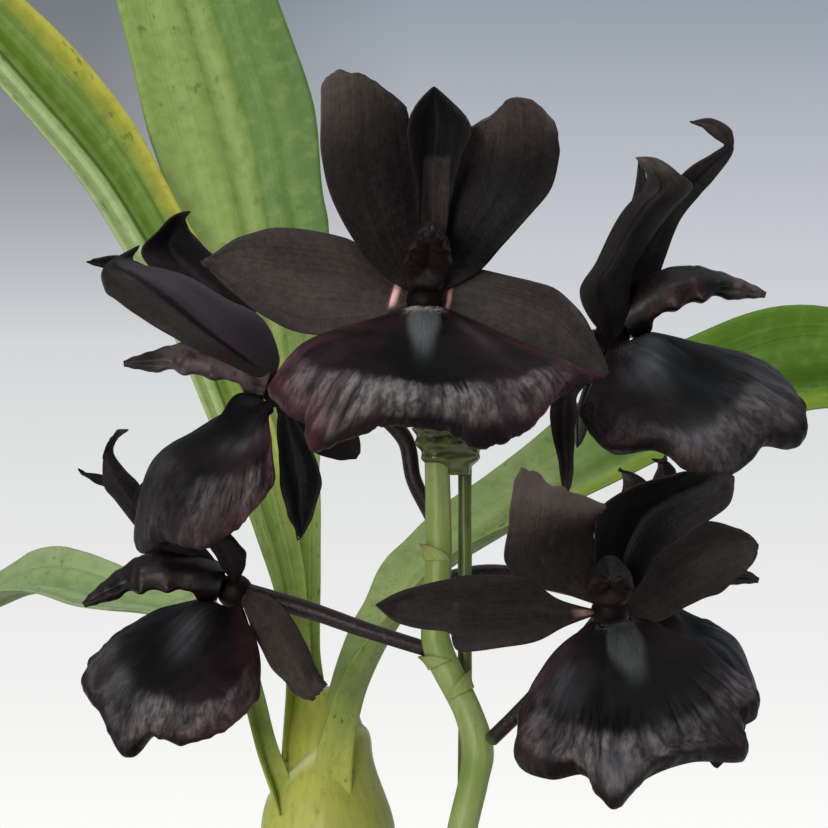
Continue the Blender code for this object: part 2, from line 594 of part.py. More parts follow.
def make_column(name, flower, finish):
    """The column over the lip: a stout arched rod with winged flanks, ending in the beak of the anther cap."""
    centre = Vector(flower.centre)
    tip = Vector(flower.column.tip)
    across = tip.cross(Vector((0, 0, 1))).normalized()
    up = across.cross(tip).normalized()
    start = tip.normalized() * 0.8 + up * 0.6
    start = start.normalized() * (HUB_RADIUS + GAP + 0.1)
    middle = (start + tip) / 2 + up * flower.column.arch
    rings = []
    for share, tall, wide in COLUMN_RINGS:
        point = start * (1 - share) ** 2 + middle * 2 * share * (1 - share) + tip * share ** 2
        along = ((middle - start) * (1 - share) + (tip - middle) * share).normalized()
        lift = across.cross(along).normalized()
        ring = []
        for k in range(COLUMN_SIDES):
            turn = math.tau * k / COLUMN_SIDES
            ring.append(centre + point + across * wide * math.cos(turn) + lift * tall * math.sin(turn))
        rings.append(ring)
    return loft(name, rings, finish)


def make_lip(name, flower, finish):
    centre = Vector(flower.centre)
    return sheet_from_grid(name, LIP_ROWS, LIP_COLUMNS, lip_surface(centre, flower.lip), LIP_THICKNESS, finish)


def make_tepals(name, flower, finish):
    """The three sepals and two petals, joined where they spring from the top of the ovary."""
    centre = Vector(flower.centre)
    bm = bmesh.new()
    bmesh.ops.create_icosphere(bm, subdivisions=1, radius=HUB_RADIUS * MM)
    bmesh.ops.translate(bm, verts=bm.verts, vec=centre * MM)
    hub = from_bmesh(name, bm, finish)
    blades = []
    for part, tepal in flower.tepals.items():
        end = centre + Vector(tepal.tip)
        start = centre + (end - centre).normalized() * 1.2
        place = tepal_surface(start, end, tepal)
        blades.append(sheet_from_grid(f"{name}_{part}", TEPAL_ROWS, TEPAL_COLUMNS, place, TEPAL_THICKNESS))
    return boolean(hub, blades, "UNION")


def make_flower(name, flower, finishes, spike):
    stalk = make_stalk(name + "_stalk", flower, finishes["stalk"])
    keep_largest(boolean(stalk, [swollen(spike, GAP)], "DIFFERENCE"))
    column = make_column(name + "_column", flower, finishes["column"])
    lip = make_lip(name + "_lip", flower, finishes["lip"])
    tepals = make_tepals(name + "_tepals", flower, finishes["tepal"])
    keep_largest(boolean(lip, [swollen(column, GAP)], "DIFFERENCE"))
    keep_largest(boolean(tepals, [swollen(column, GAP)], "DIFFERENCE"))
    keep_largest(boolean(tepals, [swollen(lip, GAP)], "DIFFERENCE"))
    keep_largest(boolean(tepals, [swollen(stalk, GAP)], "DIFFERENCE"))


def make_clip(finish):
    """A soft plastic clip: an oval band round the spike and the stake, wider at its mouth."""
    half = CLIP_LENGTH / 2
    profile = (
        (half, CLIP_LOW), (half + 0.2, CLIP_LOW + 2), (half + CLIP_FLARE, CLIP_HIGH),
        (half + CLIP_FLARE - CLIP_WALL, CLIP_HIGH), (half + 0.2 - CLIP_WALL, CLIP_LOW + 2), (half - CLIP_WALL, CLIP_LOW),
    )
    clip = turned("clip", profile, 20, finish, closed=True)
    spike = Vector(smooth_route(SPIKE_ROUTE, 0.93)[:3])
    across = Vector((STAKE_X, STAKE_Y, 0)) - spike
    middle = Matrix.Translation(Vector(((spike.x + STAKE_X) / 2, (spike.y + STAKE_Y) / 2, 0)) * MM)
    clip.data.transform(middle @ Matrix.Rotation(math.atan2(across.y, across.x), 4, "Z") @ Matrix.Diagonal((1, CLIP_WIDTH / CLIP_LENGTH, 1, 1)))
    return clip


def make_finishes():
    return {
        "clay": material("clay", (0.50, 0.21, 0.12), 0.85),
        "bark": material("bark", (0.13, 0.06, 0.035), 0.9),
        "bulb": material("bulb", (0.33, 0.42, 0.10), 0.5),
        "old_bulb": material("old_bulb", (0.30, 0.30, 0.12), 0.65),
        "leaf": material("leaf", (0.20, 0.40, 0.08), 0.5),
        "spike": material("spike", (0.27, 0.38, 0.13), 0.45),
        "stake": material("stake", (0.09, 0.17, 0.04), 0.4),
        "clip": material("clip", (0.16, 0.20, 0.05), 0.15),
        "tepal": material("tepal", (0.022, 0.013, 0.014), 0.45),
        "lip": material("lip", (0.02, 0.011, 0.013), 0.3),
        "column": material("column", (0.03, 0.006, 0.012), 0.35),
        "stalk": material("stalk", (0.045, 0.022, 0.025), 0.4),
    }


def main():
    clear_scene()
    finishes = make_finishes()
    make_pot(finishes["clay"])
    bark = make_bark(finishes["bark"])
    leafy = bulb("leafy_bulb", LEAFY_BULB_FOOT, LEAFY_BULB_TOP, LEAFY_BULB_RADIUS, 14, True, finishes["bulb"])
    planted = [leafy]
    for name, (foot, top, widest) in BACK_BULBS.items():
        planted.append(bulb(name, foot, top, widest, 12, False, finishes["old_bulb"]))
    planted.append(tube("stake", [(STAKE_X, STAKE_Y, z, STAKE_RADIUS) for z in (STAKE_FOOT, STAKE_TOP)], finishes["stake"], 3))
    stem = tube("flower_spike", [tuple(smooth_route(SPIKE_ROUTE, step / 28)) for step in range(29)], finishes["spike"])
    planted.append(stem)
    keep_largest(boolean(bark, [swollen(piece, GAP) for piece in planted], "DIFFERENCE"))
    make_clip(finishes["clip"])
    for name, leaf in LEAVES.items():
        keep_largest(boolean(make_leaf(name, leaf, finishes["leaf"]), [swollen(leafy, GAP)], "DIFFERENCE"))
    for name, flower in FLOWERS.items():
        make_flower(name, flower, finishes, stem)


main()
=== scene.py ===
"""The looks of a black-flowered orchid in a clay pot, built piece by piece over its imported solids.

It is laid out as an add-on and run as a script. Lengths in the tables below are in millimetres, and MM turns them
into metres. The origin is the centre of the pot's foot, +Z is up, and the flowers face -Y.
"""

import math
import random
from collections import namedtuple

import bmesh
import bpy
from bpy.props import FloatProperty, FloatVectorProperty, IntProperty, PointerProperty
from mathutils import Matrix, Vector, noise


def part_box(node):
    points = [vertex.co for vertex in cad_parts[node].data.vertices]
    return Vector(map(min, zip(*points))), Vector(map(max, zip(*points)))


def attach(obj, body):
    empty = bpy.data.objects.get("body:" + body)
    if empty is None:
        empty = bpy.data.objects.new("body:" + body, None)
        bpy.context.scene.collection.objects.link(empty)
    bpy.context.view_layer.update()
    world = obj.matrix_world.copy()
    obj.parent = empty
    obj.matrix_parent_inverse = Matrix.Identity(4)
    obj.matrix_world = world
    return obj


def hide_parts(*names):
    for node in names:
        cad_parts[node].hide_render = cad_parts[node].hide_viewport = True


bl_info = {
    "name": "Black Orchid in a Pot",
    "version": (1, 0, 0),
    "blender": (4, 5, 0),
    "location": "View3D > Sidebar > Orchid",
    "description": "Builds a potted black-flowered orchid over its solid model",
    "category": "Add Mesh",
}

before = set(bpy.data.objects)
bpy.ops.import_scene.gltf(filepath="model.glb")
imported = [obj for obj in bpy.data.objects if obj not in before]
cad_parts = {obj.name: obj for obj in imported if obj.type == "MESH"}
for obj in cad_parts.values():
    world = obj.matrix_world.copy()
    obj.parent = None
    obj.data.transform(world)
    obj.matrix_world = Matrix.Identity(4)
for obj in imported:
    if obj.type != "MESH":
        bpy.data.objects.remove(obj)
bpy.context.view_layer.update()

MM = 0.001
BODY = "root"

# The pot and what fills it
POT_HEIGHT = 115
POT_FOOT_RADIUS = 45
POT_RIM_RADIUS = 66
POT_RIM_HEIGHT = 21
POT_RIM_STEP = 3.5
POT_WALL = 5
POT_FLOOR = 8
POT_DRAINS = 3
POT_DRAIN_RADIUS = 5
POT_DRAIN_RING = 24
POT_SIDES, POT_WALL_STEPS = 144, 12
DRAIN_SIDES = 40
BARK_TOP = 101
BARK_SEED = 11
BARK_CHIPS = 250
CHIP_LENGTH = (7, 16)
BED_SIDES = 64

# The growths: the foot, the top and the widest radius of each swollen stem
LEAFY_BULB_FOOT = (-7, 8, 90)
LEAFY_BULB_TOP = (-12.3, 13, 226)
LEAFY_BULB_RADIUS = 19
BACK_BULBS = {
    "back_bulb_right": ((27, 19, 92), (33, 24, 182), 14.5),
    "back_bulb_left": ((-30.5, 32.5, 92), (-34, 38, 168), 10.3),
}
# Sides and rings, fewer on the older growths
BULB_GRID, OLD_BULB_GRID = (120, 260), (96, 100)
BULB_OUTLINE = ((0, 0.5), (0.1, 0.82), (0.22, 0.97), (0.36, 1), (0.5, 0.94), (0.65, 0.8), (0.8, 0.62), (0.92, 0.42), (1, 0.3))
SHEATH_STEP = 0.9
# Height share, slant and the way the low side of each sheath's margin faces, in degrees
SHEATHS = ((0.27, 0.07, 200), (0.6, 0.09, 20), (0.898, 0.055, 325))

# The flower spike, its stake and the clip that ties them
SPIKE_ROUTE = (
    (5.3, -7.6, 97, 3.2), (6, -10.5, 109, 3.2), (7, -15.5, 122, 3.1), (8, -20, 140, 2.9), (9.5, -22, 160, 2.8), (11, -23, 180, 2.75),
    (13, -23, 200, 2.7), (15.6, -23, 212, 2.7), (16.4, -23, 218, 2.9), (14.5, -22.5, 225, 2.55), (9.6, -21.5, 235, 2.7),
    (8.8, -21, 241, 2.5), (9.4, -20.5, 252, 2.4), (9.3, -20.5, 263, 2.3), (9, -20.5, 273, 2.2), (8.6, -20.5, 280, 2.3),
)
SPIKE_STEPS, SPIKE_SIDES = 160, 32
# Share of the spike's length and the way it faces, in degrees, for each bract
SPIKE_BRACTS = ((0.62, -10), (0.655, 170), (0.80, 200))
BRACT_LENGTH, BRACT_THICKNESS = 3, 0.3
BRACT_GRID = (14, 14)
STAKE_X, STAKE_Y = 14.2, -16.6
STAKE_RADIUS = 1.25
STAKE_FOOT, STAKE_TOP = 30, 290
STAKE_STEPS, STAKE_SIDES = 90, 24
CLIP_LOW, CLIP_HIGH = 267, 275.5
CLIP_LENGTH, CLIP_WIDTH = 13.8, 8.8
CLIP_WALL = 1.2
CLIP_FLARE = 1.2
CLIP_STEPS, CLIP_RIBS, CLIP_SIDES = 40, 3, 96
# Where the clip holds the spike, as a share of its length
CLIP_HOLD = 0.93

# Leaves: route from the growth to the tip, the way the upper face looks at both ends, widths along the route and fold angle
# Across each leaf the bands hold its tones, partly its own colour and partly painted light: a paler half of a folded
# blade is painted reflection and a darker strip beside the midrib painted shade, as on leaf_left
Leaf = namedtuple("Leaf", "route face face_end widths fold bands under turned")
LEAVES = {
    "leaf_tall": Leaf(
        ((-14.5, 20, 215), (-15.3, 21, 225), (-16.1, 22, 234.5), (-16.6, 25, 250), (-17.3, 29, 265), (-19.7, 36, 280.5),
         (-23.6, 45, 298.5), (-27.8, 54, 317), (-33.4, 66, 340), (-41.2, 80, 364.5), (-47.5, 97, 390), (-54, 120, 422), (-62, 150, 455)),
        (0.15, -1, 0.1), (0.15, -1, 0.1),
        ((0, 11), (0.17, 9), (0.33, 8.5), (0.42, 14), (0.5, 24), (0.58, 31), (0.66, 35), (0.76, 33), (0.86, 34), (0.95, 20), (1, 0)), 12,
        ((0, "798f46"), (0.3, "7b9048"), (0.58, "758a49"), (0.61, "577333"), (0.8, "52702c"), (1, "4a672a")), "6c8048", (2, 3)),
    "leaf_left": Leaf(
        ((-17.9, 12, 212.5), (-17.5, 12, 224), (-18, 11, 235), (-19.5, 13, 245), (-22.5, 16, 256), (-26.5, 21, 268), (-31.6, 27, 280.5),
         (-38.5, 35, 297), (-47.5, 43, 312), (-58, 51, 328), (-73.3, 60, 346), (-88, 68, 362), (-110, 82, 385), (-138, 98, 405)),
        (0.2, -0.9, 0.35), (0.4, -0.9, 0.35),
        ((0, 11), (0.15, 9), (0.3, 11), (0.45, 14.5), (0.6, 18), (0.75, 21.5), (0.88, 19), (1, 0)), 32,
        ((0, "92a56c"), (0.34, "92a56c"), (0.39, "506c1e"), (0.78, "56711d"), (0.95, "9b9832")), "768a58", (2, 3)),
    "leaf_right": Leaf(
        ((-7, 3, 206), (-6.6, 3, 215), (-4.8, 5.5, 224.5), (-1.8, 9, 232), (2.2, 14, 239), (6.8, 19, 245), (13.4, 25, 250),
         (22.8, 32, 255.5), (36.4, 40, 263), (52, 48, 271), (70, 55, 279), (89, 62, 284), (115, 70, 281), (146, 78, 266)),
        (-0.4, 0.35, 1), (-0.25, -1.1, 0.6),
        ((0, 13), (0.15, 13.5), (0.3, 16), (0.42, 20), (0.55, 27), (0.7, 33), (0.82, 36), (0.92, 26), (1, 0)), 28,
        ((0, "557a14"), (0.45, "4c7212"), (0.6, "5c8218"), (0.8, "78901e"), (1, "6e8828")), "6a7c48", (0.7, 0.6)),
    "leaf_low_left": Leaf(
        ((-20, 7, 203), (-23.2, 7.5, 213), (-26, 10, 224), (-29.5, 16, 232), (-35.3, 24, 237), (-43.6, 33, 239.5), (-55, 42, 241),
         (-66, 50, 243), (-76, 57, 241), (-92, 68, 231), (-113, 80, 205)),
        (0.1, -0.55, 0.8), (0.1, -0.45, 0.85),
        ((0, 9), (0.2, 7), (0.35, 9), (0.5, 14), (0.65, 19), (0.8, 24), (0.9, 20), (1, 0)), 20,
        ((0, "80936a"), (0.5, "788f5c"), (1, "88996c")), "7c9066", (2, 3)),
    "leaf_low_right": Leaf(
        ((4, 14, 158), (12, 19, 171), (25, 25, 181), (43, 31, 186), (67, 37, 185), (97, 42, 175), (127, 47, 155), (151, 51, 128)),
        (0.1, -0.2, 1), (0.1, -0.4, 0.9),
        ((0, 10), (0.15, 9), (0.3, 15), (0.5, 27), (0.68, 34), (0.85, 26), (1, 0)), 18,
        ((0, "7d9a4b"), (0.46, "76953f"), (0.54, "8ea457"), (1, "819c4e")), "7b9058", (2, 3)),
    "leaf_low_back": Leaf(
        ((-18, 22, 158), (-26, 28, 168), (-38, 38, 175), (-54, 52, 178), (-73, 70, 174), (-94, 90, 161), (-112, 108, 140),
         (-124, 122, 114)),
        (0.3, -0.3, 1), (0.2, 0.1, 1),
        ((0, 11), (0.15, 9), (0.3, 13), (0.5, 25), (0.68, 34), (0.85, 28), (1, 0)), 18,
        ((0, "7d9a4b"), (0.46, "76953f"), (0.54, "8ea457"), (1, "819c4e")), "7b9058", (2, 3)),
}
LEAF_GRID = (130, 48)
PLEATS = 3
# The stalk of a leaf is rolled into a channel, which opens out between these shares of its length
CHANNEL_OPENS = (0.12, 0.45)
CHANNEL_FOLD = 58

# Flowers. Offsets run from the middle of the flower to the tip of each piece. A sepal or petal that is placed point by
# point in BLADES has only its tone here (at the foot, at the tip and across), and a lip that is in LIPS has None
Tepal = namedtuple("Tepal", "tone tip face width outline bow cup curl", defaults=(None,) * 7)
Lip = namedtuple("Lip", "along face length spread bend droop roll hollow point")
Column = namedtuple("Column", "tip arch tone flush gloss girth keel seat")
Flower = namedtuple("Flower", "centre stalk tepals lip column")
SEPAL = "sepal"
PETAL = "petal"
FLOWERS = {
    "flower_top": Flower(
        (6.9, -46, 297.5),
        ((8.6, -20.8, 278.8), (8.6, -26, 284), (8.3, -33, 290), (7.4, -40, 295)),
        {
            "dorsal": Tepal((-0.1, -0.15, 0)),
            "petal_left": Tepal((0.42, 1.05, -0.35)),
            "petal_right": Tepal((0.18, 0.98, -0.2)),
            "sepal_left": Tepal((0.78, 0.62, -0.1)),
            "sepal_right": Tepal((0.66, 0.55, -0.1)),
        },
        None,
        Column((1.2, -21, 11.5), 4, (0.05, 0.2), 0.25, 0.6, 0.86, 1, 1),
    ),
    "flower_upper_left": Flower(
        (-18.6, -33, 282.3),
        ((8.5, -19.8, 259), (5, -16.5, 266), (3, -16, 274), (-5, -20, 280.5), (-13, -28, 282)),
        {
            "dorsal": Tepal((0.2, 0.3, 0)),
            "petal_left": Tepal((0.6, 0.05, 0.1)),
            "petal_right": Tepal((0.35, 0.05, 0)),
            "sepal_left": Tepal((0.05, -0.1, 0)),
            "sepal_right": Tepal((0.1, 0.2, 0), (13, 9, -12.5), (-0.6, -0.5, 0.4), 12, SEPAL, -1, 20, 0),
        },
        None,
        Column((-27.5, -1, 4.5), 2.5, (0.8, 0.1), 0.3, 0.6, 1, 0.6, 0.6),
    ),
    "flower_upper_right": Flower(
        (40.5, -22, 291.8),
        ((9.5, -21, 277.8), (15.5, -22, 283), (25, -21, 288.5), (34.5, -21.5, 291)),
        {
            "dorsal": Tepal((0.1, 0.2, 0), (7, 1, 31), (0.95, -0.1, -0.2), 14, SEPAL, -2, 35, -20),
            "petal_left": Tepal((0.12, 1.05, 0.0)),
            "petal_right": Tepal((0.35, 0.8, 0)),
            "sepal_left": Tepal((0.6, 0.65, 0)),
            "sepal_right": Tepal((0.1, 0.1, 0), (-5, 12, -20), (0.85, -0.35, 0), 12, SEPAL, -2, 20, 0),
        },
        None,
        Column((27.5, -1, 7.5), 7, (0, 0.5), 0.4, 0.7, 1.12, 0.3, 0.6),
    ),
    "flower_lower_left": Flower(
        (-27.6, -12, 245.6),
        ((8, -20.8, 235.5), (-4, -19.5, 239.2), (-14, -17, 242.5), (-22, -13.8, 244.8)),
        {
            "dorsal": Tepal((0.2, 0.4, 0)),
            "petal_left": Tepal((0.3, 0.5, 0)),
            "petal_right": Tepal((0.3, 0.3, 0)),
            "sepal_left": Tepal((0.8, 0.75, 0)),
            "sepal_right": Tepal((0.1, 0.2, 0), (-2, 14, -20), (-0.8, -0.5, -0.2), 11, SEPAL, -2, 15, 0),
        },
        None,
        Column((-27.5, -1, -2.4), 6, (0, 0.1), 0.3, 0.7, 1.1, 0.3, 0.6),
    ),
    "flower_lower_right": Flower(
        (38.3, -55, 244.3),
        ((18.9, -25, 220), (26, -34, 228), (33, -45, 237), (36.5, -51, 242)),
        {
            "dorsal": Tepal((0.1, 0.2, 0)),
            "petal_left": Tepal((0.55, 1.7, -0.1)),
            "petal_right": Tepal((-0.05, 0.15, 0.35)),
            "sepal_left": Tepal((0.5, 0.55, 0)),
            "sepal_right": Tepal((0.62, 0.7, 0)),
        },
        None,
        Column((-1, -19, 6.5), 4, (0, 0), 0.3, 0.05, 0.8, 0.7, 0.8),
    ),
    "flower_back_right": Flower(
        (45, 5, 243.3),
        ((9.3, -19.5, 246), (11.5, -11.5, 248), (22, -4.5, 248.5), (39.2, 3, 244.8)),
        {
            "dorsal": Tepal((0.2, 0.3, 0), (8, 4, 27), (0.9, -0.1, -0.4), 12, SEPAL, -2, 30, 0),
            "petal_left": Tepal((0.2, 0.3, 0), (3, -4, 26), (0.8, 0.5, -0.3), 12, SEPAL, -2, 20, -90),
            "petal_right": Tepal((0.2, 0.3, 0), (10, 13, 24), (0.75, -0.55, -0.4), 13, PETAL, -2, 20, -40),
            "sepal_left": Tepal((0.1, 0.2, 0), (-6, -8, -22), (0.8, 0.5, 0), 10, SEPAL, -2, 20, 0),
            "sepal_right": Tepal((0.1, 0.2, 0), (-5, 12, -20), (0.85, -0.35, 0), 11, SEPAL, -2, 20, 0),
        },
        Lip((0.97, 0, -0.2), (0.25, -0.3, 0.9), 30, 68, 40, 70, 3, 2, 0.05),
        Column((24.5, 0, 3.5), 4, (0.2, 0.2), 0.4, 0.5, 1, 0.6, 0.6),
    ),
}
# Blades whose shape is given point by point: rows of points from the base to the tip, each from one margin to the other
BLADES = {
    "flower_top": {
        "dorsal": (
            ((7.2, -46, 298.7),), ((6.2, -49, 307.9), (8.1, -47.5, 308), (10.2, -49, 307.9)),
            ((5.5, -51, 314.6), (8.3, -48.5, 314.8), (11.2, -51, 314.6)), ((4.5, -53, 321.3), (8.6, -50, 321.5), (13, -53, 321.3)),
            ((3.8, -54.5, 326.7), (9.1, -51, 326.9), (14.7, -54.5, 326.7)), ((5, -54, 330.1), (8.9, -52, 330.5), (12.7, -54, 329.8)),
            ((8.4, -53, 333.8),),
        ),
        "petal_left": (
            ((6.6, -45.5, 298),), ((0, -47, 301.6), (1.4, -46.5, 302.5), (2.8, -46, 303.2), (4.3, -45.5, 303.9), (6, -45, 304.3)),
            ((-5.4, -51, 307.8), (-2.9, -49.5, 308.5), (0, -48, 309.3), (3.1, -46.5, 309.7), (6.2, -45.5, 310.1)),
            ((-9.6, -54, 316.7), (-6.3, -52, 317.5), (-2.4, -50, 318.1), (1.6, -48, 318.6), (6, -46, 319.1)),
            ((-10.9, -57, 325.8), (-7.4, -55, 326.8), (-3.4, -52, 327.4), (0.7, -49.5, 327.2), (4.5, -47, 326.2)),
            ((-10.7, -59, 332.4), (-7.5, -57, 333.6), (-3.7, -54, 333.9), (0.2, -51.5, 332.4), (3.8, -49, 329.9)),
            ((-10, -59, 334.9), (-7.5, -57.5, 335.9), (-4.5, -55, 336), (-0.6, -52.5, 334.2), (3.5, -49.5, 330.7)),
        ),
        "petal_right": (
            ((7.2, -45.5, 298),), ((7.8, -45, 304.3), (9.5, -45.5, 303.9), (11.4, -46, 303.4), (13.4, -46.5, 302.8), (15.5, -47, 301.9)),
            ((9.1, -45.5, 310.5), (12.2, -46.5, 310.1), (15.5, -48, 309.5), (18, -49.5, 308.5), (20.4, -51, 307.3)),
            ((11.2, -46, 318.4), (15.5, -48, 317.9), (20.1, -50, 317.1), (24.1, -52, 316.3), (27.8, -54, 315.5)),
            ((12.8, -47, 324.3), (17.2, -49.5, 324.2), (21.7, -52, 323.6), (25.9, -55, 322.9), (29.4, -57, 322.1)),
            ((14.3, -49, 326.6), (18, -51.5, 328.4), (21.7, -54, 329.8), (25.7, -57, 329), (29.1, -59, 325.4)),
            ((14.8, -49.5, 327.4), (18.1, -52.5, 329), (21.2, -55, 331.7), (25, -57.5, 331.2), (28.6, -59, 327.6)),
        ),
        "sepal_left": (
            ((6, -46, 297.5),), ((2.6, -44.5, 301.9), (1.5, -45.5, 298), (1, -47.5, 295.4)),
            ((-0.2, -45, 304.3), (-1.6, -46, 298.4), (-2.2, -48, 293.7)), ((-6, -47, 308), (-7.2, -46.5, 300.1), (-8.1, -48, 291.9)),
            ((-13.7, -48, 309.8), (-14.1, -46.5, 300.8), (-14.6, -48, 291.9)),
            ((-20.1, -48, 309.8), (-20.7, -46.5, 302), (-21.1, -48, 294.9)),
            ((-25.5, -47.5, 308.3), (-25.9, -46.5, 303.5), (-26, -47.5, 298.7)),
            ((-29.1, -47, 305.9), (-29.3, -46.5, 303.9), (-29.1, -47, 301.6)), ((-31.9, -47, 304.2),),
        ),
        "sepal_right": (
            ((7.8, -46, 297.2),), ((11.7, -44.5, 301.5), (11.2, -46, 297.3), (10.5, -47.5, 295)),
            ((14.3, -45, 303.2), (13.4, -46.5, 297.8), (12.2, -48, 294)), ((19.1, -47, 302.3), (17.9, -47, 296.4), (16, -49, 291.4)),
            ((25.4, -49, 300.8), (23.1, -47.5, 294.5), (20.4, -49.5, 288.5)),
            ((30.2, -49.5, 298.9), (27.9, -48, 292.3), (25.2, -50, 285.7)),
            ((33.5, -50, 295.5), (31.5, -48.5, 289.2), (29.3, -50, 283.8)), ((35.9, -50, 291.4), (34.5, -49, 286.9), (32.9, -50, 283.1)),
            ((37.4, -50, 287.8), (36.9, -49.5, 285.4), (36, -50, 283.7)), ((38.4, -50, 284.7),),
        ),
    },
    "flower_upper_left": {
        "dorsal": (
            ((-19.3, -33, 283.1),), ((-25.8, -31, 291.4), (-26.5, -30.5, 290.2), (-27.2, -31, 289)),
            ((-34.6, -31, 298.5), (-35.4, -30, 297.3), (-36.2, -31, 296)), ((-41.6, -32, 303.8), (-42.2, -31, 302.4), (-42.7, -32, 301)),
            ((-45.9, -33, 305.7), (-46.4, -32, 304.5), (-46.7, -33, 303.2)),
            ((-49.6, -34, 305.6), (-49.6, -33.5, 304.8), (-49.7, -34, 303.7)), ((-52.5, -35, 304.7),),
        ),
        "petal_left": (
            ((-20.3, -34, 283.6),), ((-18.7, -35, 288), (-19.9, -36.5, 287.5), (-21.6, -38, 286), (-22.3, -37.5, 285), (-22.7, -36, 284)),
            ((-21.7, -36, 294.8), (-23.6, -39, 293.4), (-25.7, -42, 289.3), (-26.5, -41, 288.1), (-27.2, -38, 286.6)),
            ((-27.9, -37, 298), (-29.8, -41, 296.4), (-31.1, -45, 293.4), (-32.6, -44, 291.7), (-34.3, -41, 290)),
            ((-34.2, -38, 302.1), (-35.6, -42.5, 300.6), (-37, -47, 298.3), (-38.7, -46, 296.3), (-40.8, -43, 293.6)),
            ((-40.2, -39, 303.7), (-41.5, -43, 302.8), (-42.7, -47, 301.9), (-44.4, -47, 300.2), (-46.3, -44, 297.4)),
            ((-43.1, -40, 304.1), (-44.3, -43, 304.2), (-45.7, -46, 303.4), (-47.5, -46, 302), (-48.5, -44, 299.8)),
            ((-43.9, -39, 305.6), (-44.8, -41, 305.3), (-46.2, -43, 304.9), (-47.4, -43, 304.2), (-48.3, -42, 303.2)),
            ((-43.1, -38, 307.4),),
        ),
        "petal_right": (
            ((-19.4, -31, 283.7),), ((-24.5, -28, 289), (-22.8, -27, 290.3), (-20.9, -28, 291.5)),
            ((-32.3, -26, 296.2), (-28.8, -24, 298), (-25, -26, 299.2)),
            ((-39.5, -25, 301.9), (-35.2, -22.5, 303.5), (-29.6, -25, 305.1)),
            ((-43.8, -25, 306.9), (-38.8, -22, 307.8), (-32.7, -25, 308.2)),
            ((-40.9, -25, 310.7), (-37.8, -23, 311.3), (-35.2, -25, 311)), ((-38, -26, 313.3), (-36.9, -25.5, 313.3), (-36, -26, 312.6)),
            ((-34.9, -27, 314),),
        ),
        "sepal_left": (
            ((-18.4, -34, 281.2),), ((-19, -37, 276.1), (-17.1, -36, 276.1), (-15.1, -37.5, 276.1)),
            ((-18.7, -39, 270.8), (-15.6, -37.5, 270.8), (-12.3, -40, 270.9)),
            ((-18.1, -41, 265.6), (-14.7, -39, 265.6), (-11.2, -42, 265.7)),
            ((-17.1, -42, 261.3), (-14.7, -40.5, 261.1), (-12.2, -42, 261.3)),
            ((-15.8, -42, 258.2), (-14.6, -41.5, 258), (-13.6, -42, 258.2)), ((-15.2, -42, 256.1),),
        ),
    },
    "flower_upper_right": {
        "petal_left": (
            ((40.8, -23, 290.4),), ((36.3, -27, 295.1), (38, -29, 295), (39.7, -29.5, 295), (41.4, -28, 295.1), (43, -26, 295.1)),
            ((34.5, -29, 300), (36.4, -32, 300.2), (38.7, -33, 300.6), (41.1, -31, 301), (43.4, -28, 301.5)),
            ((37.4, -30, 304.9), (39.2, -33, 304.8), (40.9, -34, 304.9), (42.8, -32, 305.2), (44.6, -29, 305.5)),
            ((40.4, -31, 310.7), (42.1, -34, 310.6), (43.8, -35, 310.3), (45.9, -33, 310.3), (47.5, -30, 310.2)),
            ((42.8, -32, 314.9), (44.7, -35, 314.7), (46.6, -36, 314.5), (48.6, -34, 314.4), (50.8, -31, 314.4)),
            ((45.5, -34, 317.8), (47.5, -36, 317.6), (49.3, -37, 317.6), (51.7, -36, 317.6), (53.9, -34, 318)),
            ((45.8, -35, 320), (46.7, -37, 320.2), (48, -38, 320.3), (49.8, -38, 320.3), (51.6, -37, 320)),
            ((44.9, -35, 321.8), (45.3, -36, 322.2), (46.2, -36.5, 322.5), (47.2, -37, 322.5), (48.4, -37, 322)), ((44.1, -34, 323.1),),
        ),
        "petal_right": (
            ((41.4, -20, 291.3),), ((42.6, -17, 298.6), (45.2, -16, 298.7), (47.7, -17, 299)),
            ((44.6, -15, 305.6), (47.5, -14, 305.6), (50.4, -15, 305.9)), ((47.5, -14, 312.9), (50.5, -12.5, 313.2), (53.3, -14, 313.3)),
            ((51.2, -14, 318.7), (54.2, -12.5, 318.4), (57, -14, 317.8)), ((55.1, -15, 322.6), (57.7, -14, 322), (59.8, -15, 321)),
            ((59, -16, 324.9), (60.5, -15.5, 324.6), (61.9, -16, 324)), ((61.1, -17, 326.7), (62, -17, 326.3), (62.7, -17, 326.1)),
            ((59.3, -19, 327.6), (60.7, -19, 328.7), (62.2, -19, 329.2)), ((57, -20, 329.5), (57.9, -20, 330.2), (58.8, -20, 331.1)),
            ((54.6, -21, 330.5),),
        ),
        "sepal_left": (
            ((39.3, -24, 290.3),), ((34.5, -27, 287.6), (36, -26, 286.6), (37, -27, 285.1)),
            ((30.2, -30, 283.1), (32.2, -28.5, 282.3), (34.1, -30, 281.4)), ((29.2, -32, 278.4), (31.6, -30, 278.2), (33.8, -32, 277.8)),
            ((29.9, -33, 273.4), (31.7, -31, 273.2), (33.4, -33, 273.2)), ((30.7, -34, 268.5), (32, -33, 268.5), (33, -34, 268.5)),
            ((31, -34, 265.3), (31.8, -34, 265.3), (32.5, -34, 265.3)), ((31.4, -34, 263.9),),
        ),
    },
    "flower_lower_left": {
        "dorsal": (
            ((-28, -11, 246.2),), ((-34.3, -8, 253.1), (-34.7, -7.5, 251.9), (-35, -8, 250.9)),
            ((-41.7, -6, 259.4), (-42.3, -5.5, 258.1), (-42.8, -6, 256.8)),
            ((-48.3, -5, 265.5), (-48.9, -4.5, 264.4), (-49.5, -5, 263.3)), ((-51.6, -5, 266.8), (-51.9, -5, 265.8), (-52.3, -5, 264.7)),
            ((-55, -6, 267.1), (-55, -6, 266.8), (-55.2, -6, 266.2)), ((-56.7, -7, 267.9),),
        ),
        "petal_left": (
            ((-28.1, -13, 246.7),), ((-33, -13, 253.6), (-33.3, -14, 251.5), (-33.8, -13, 249.8)),
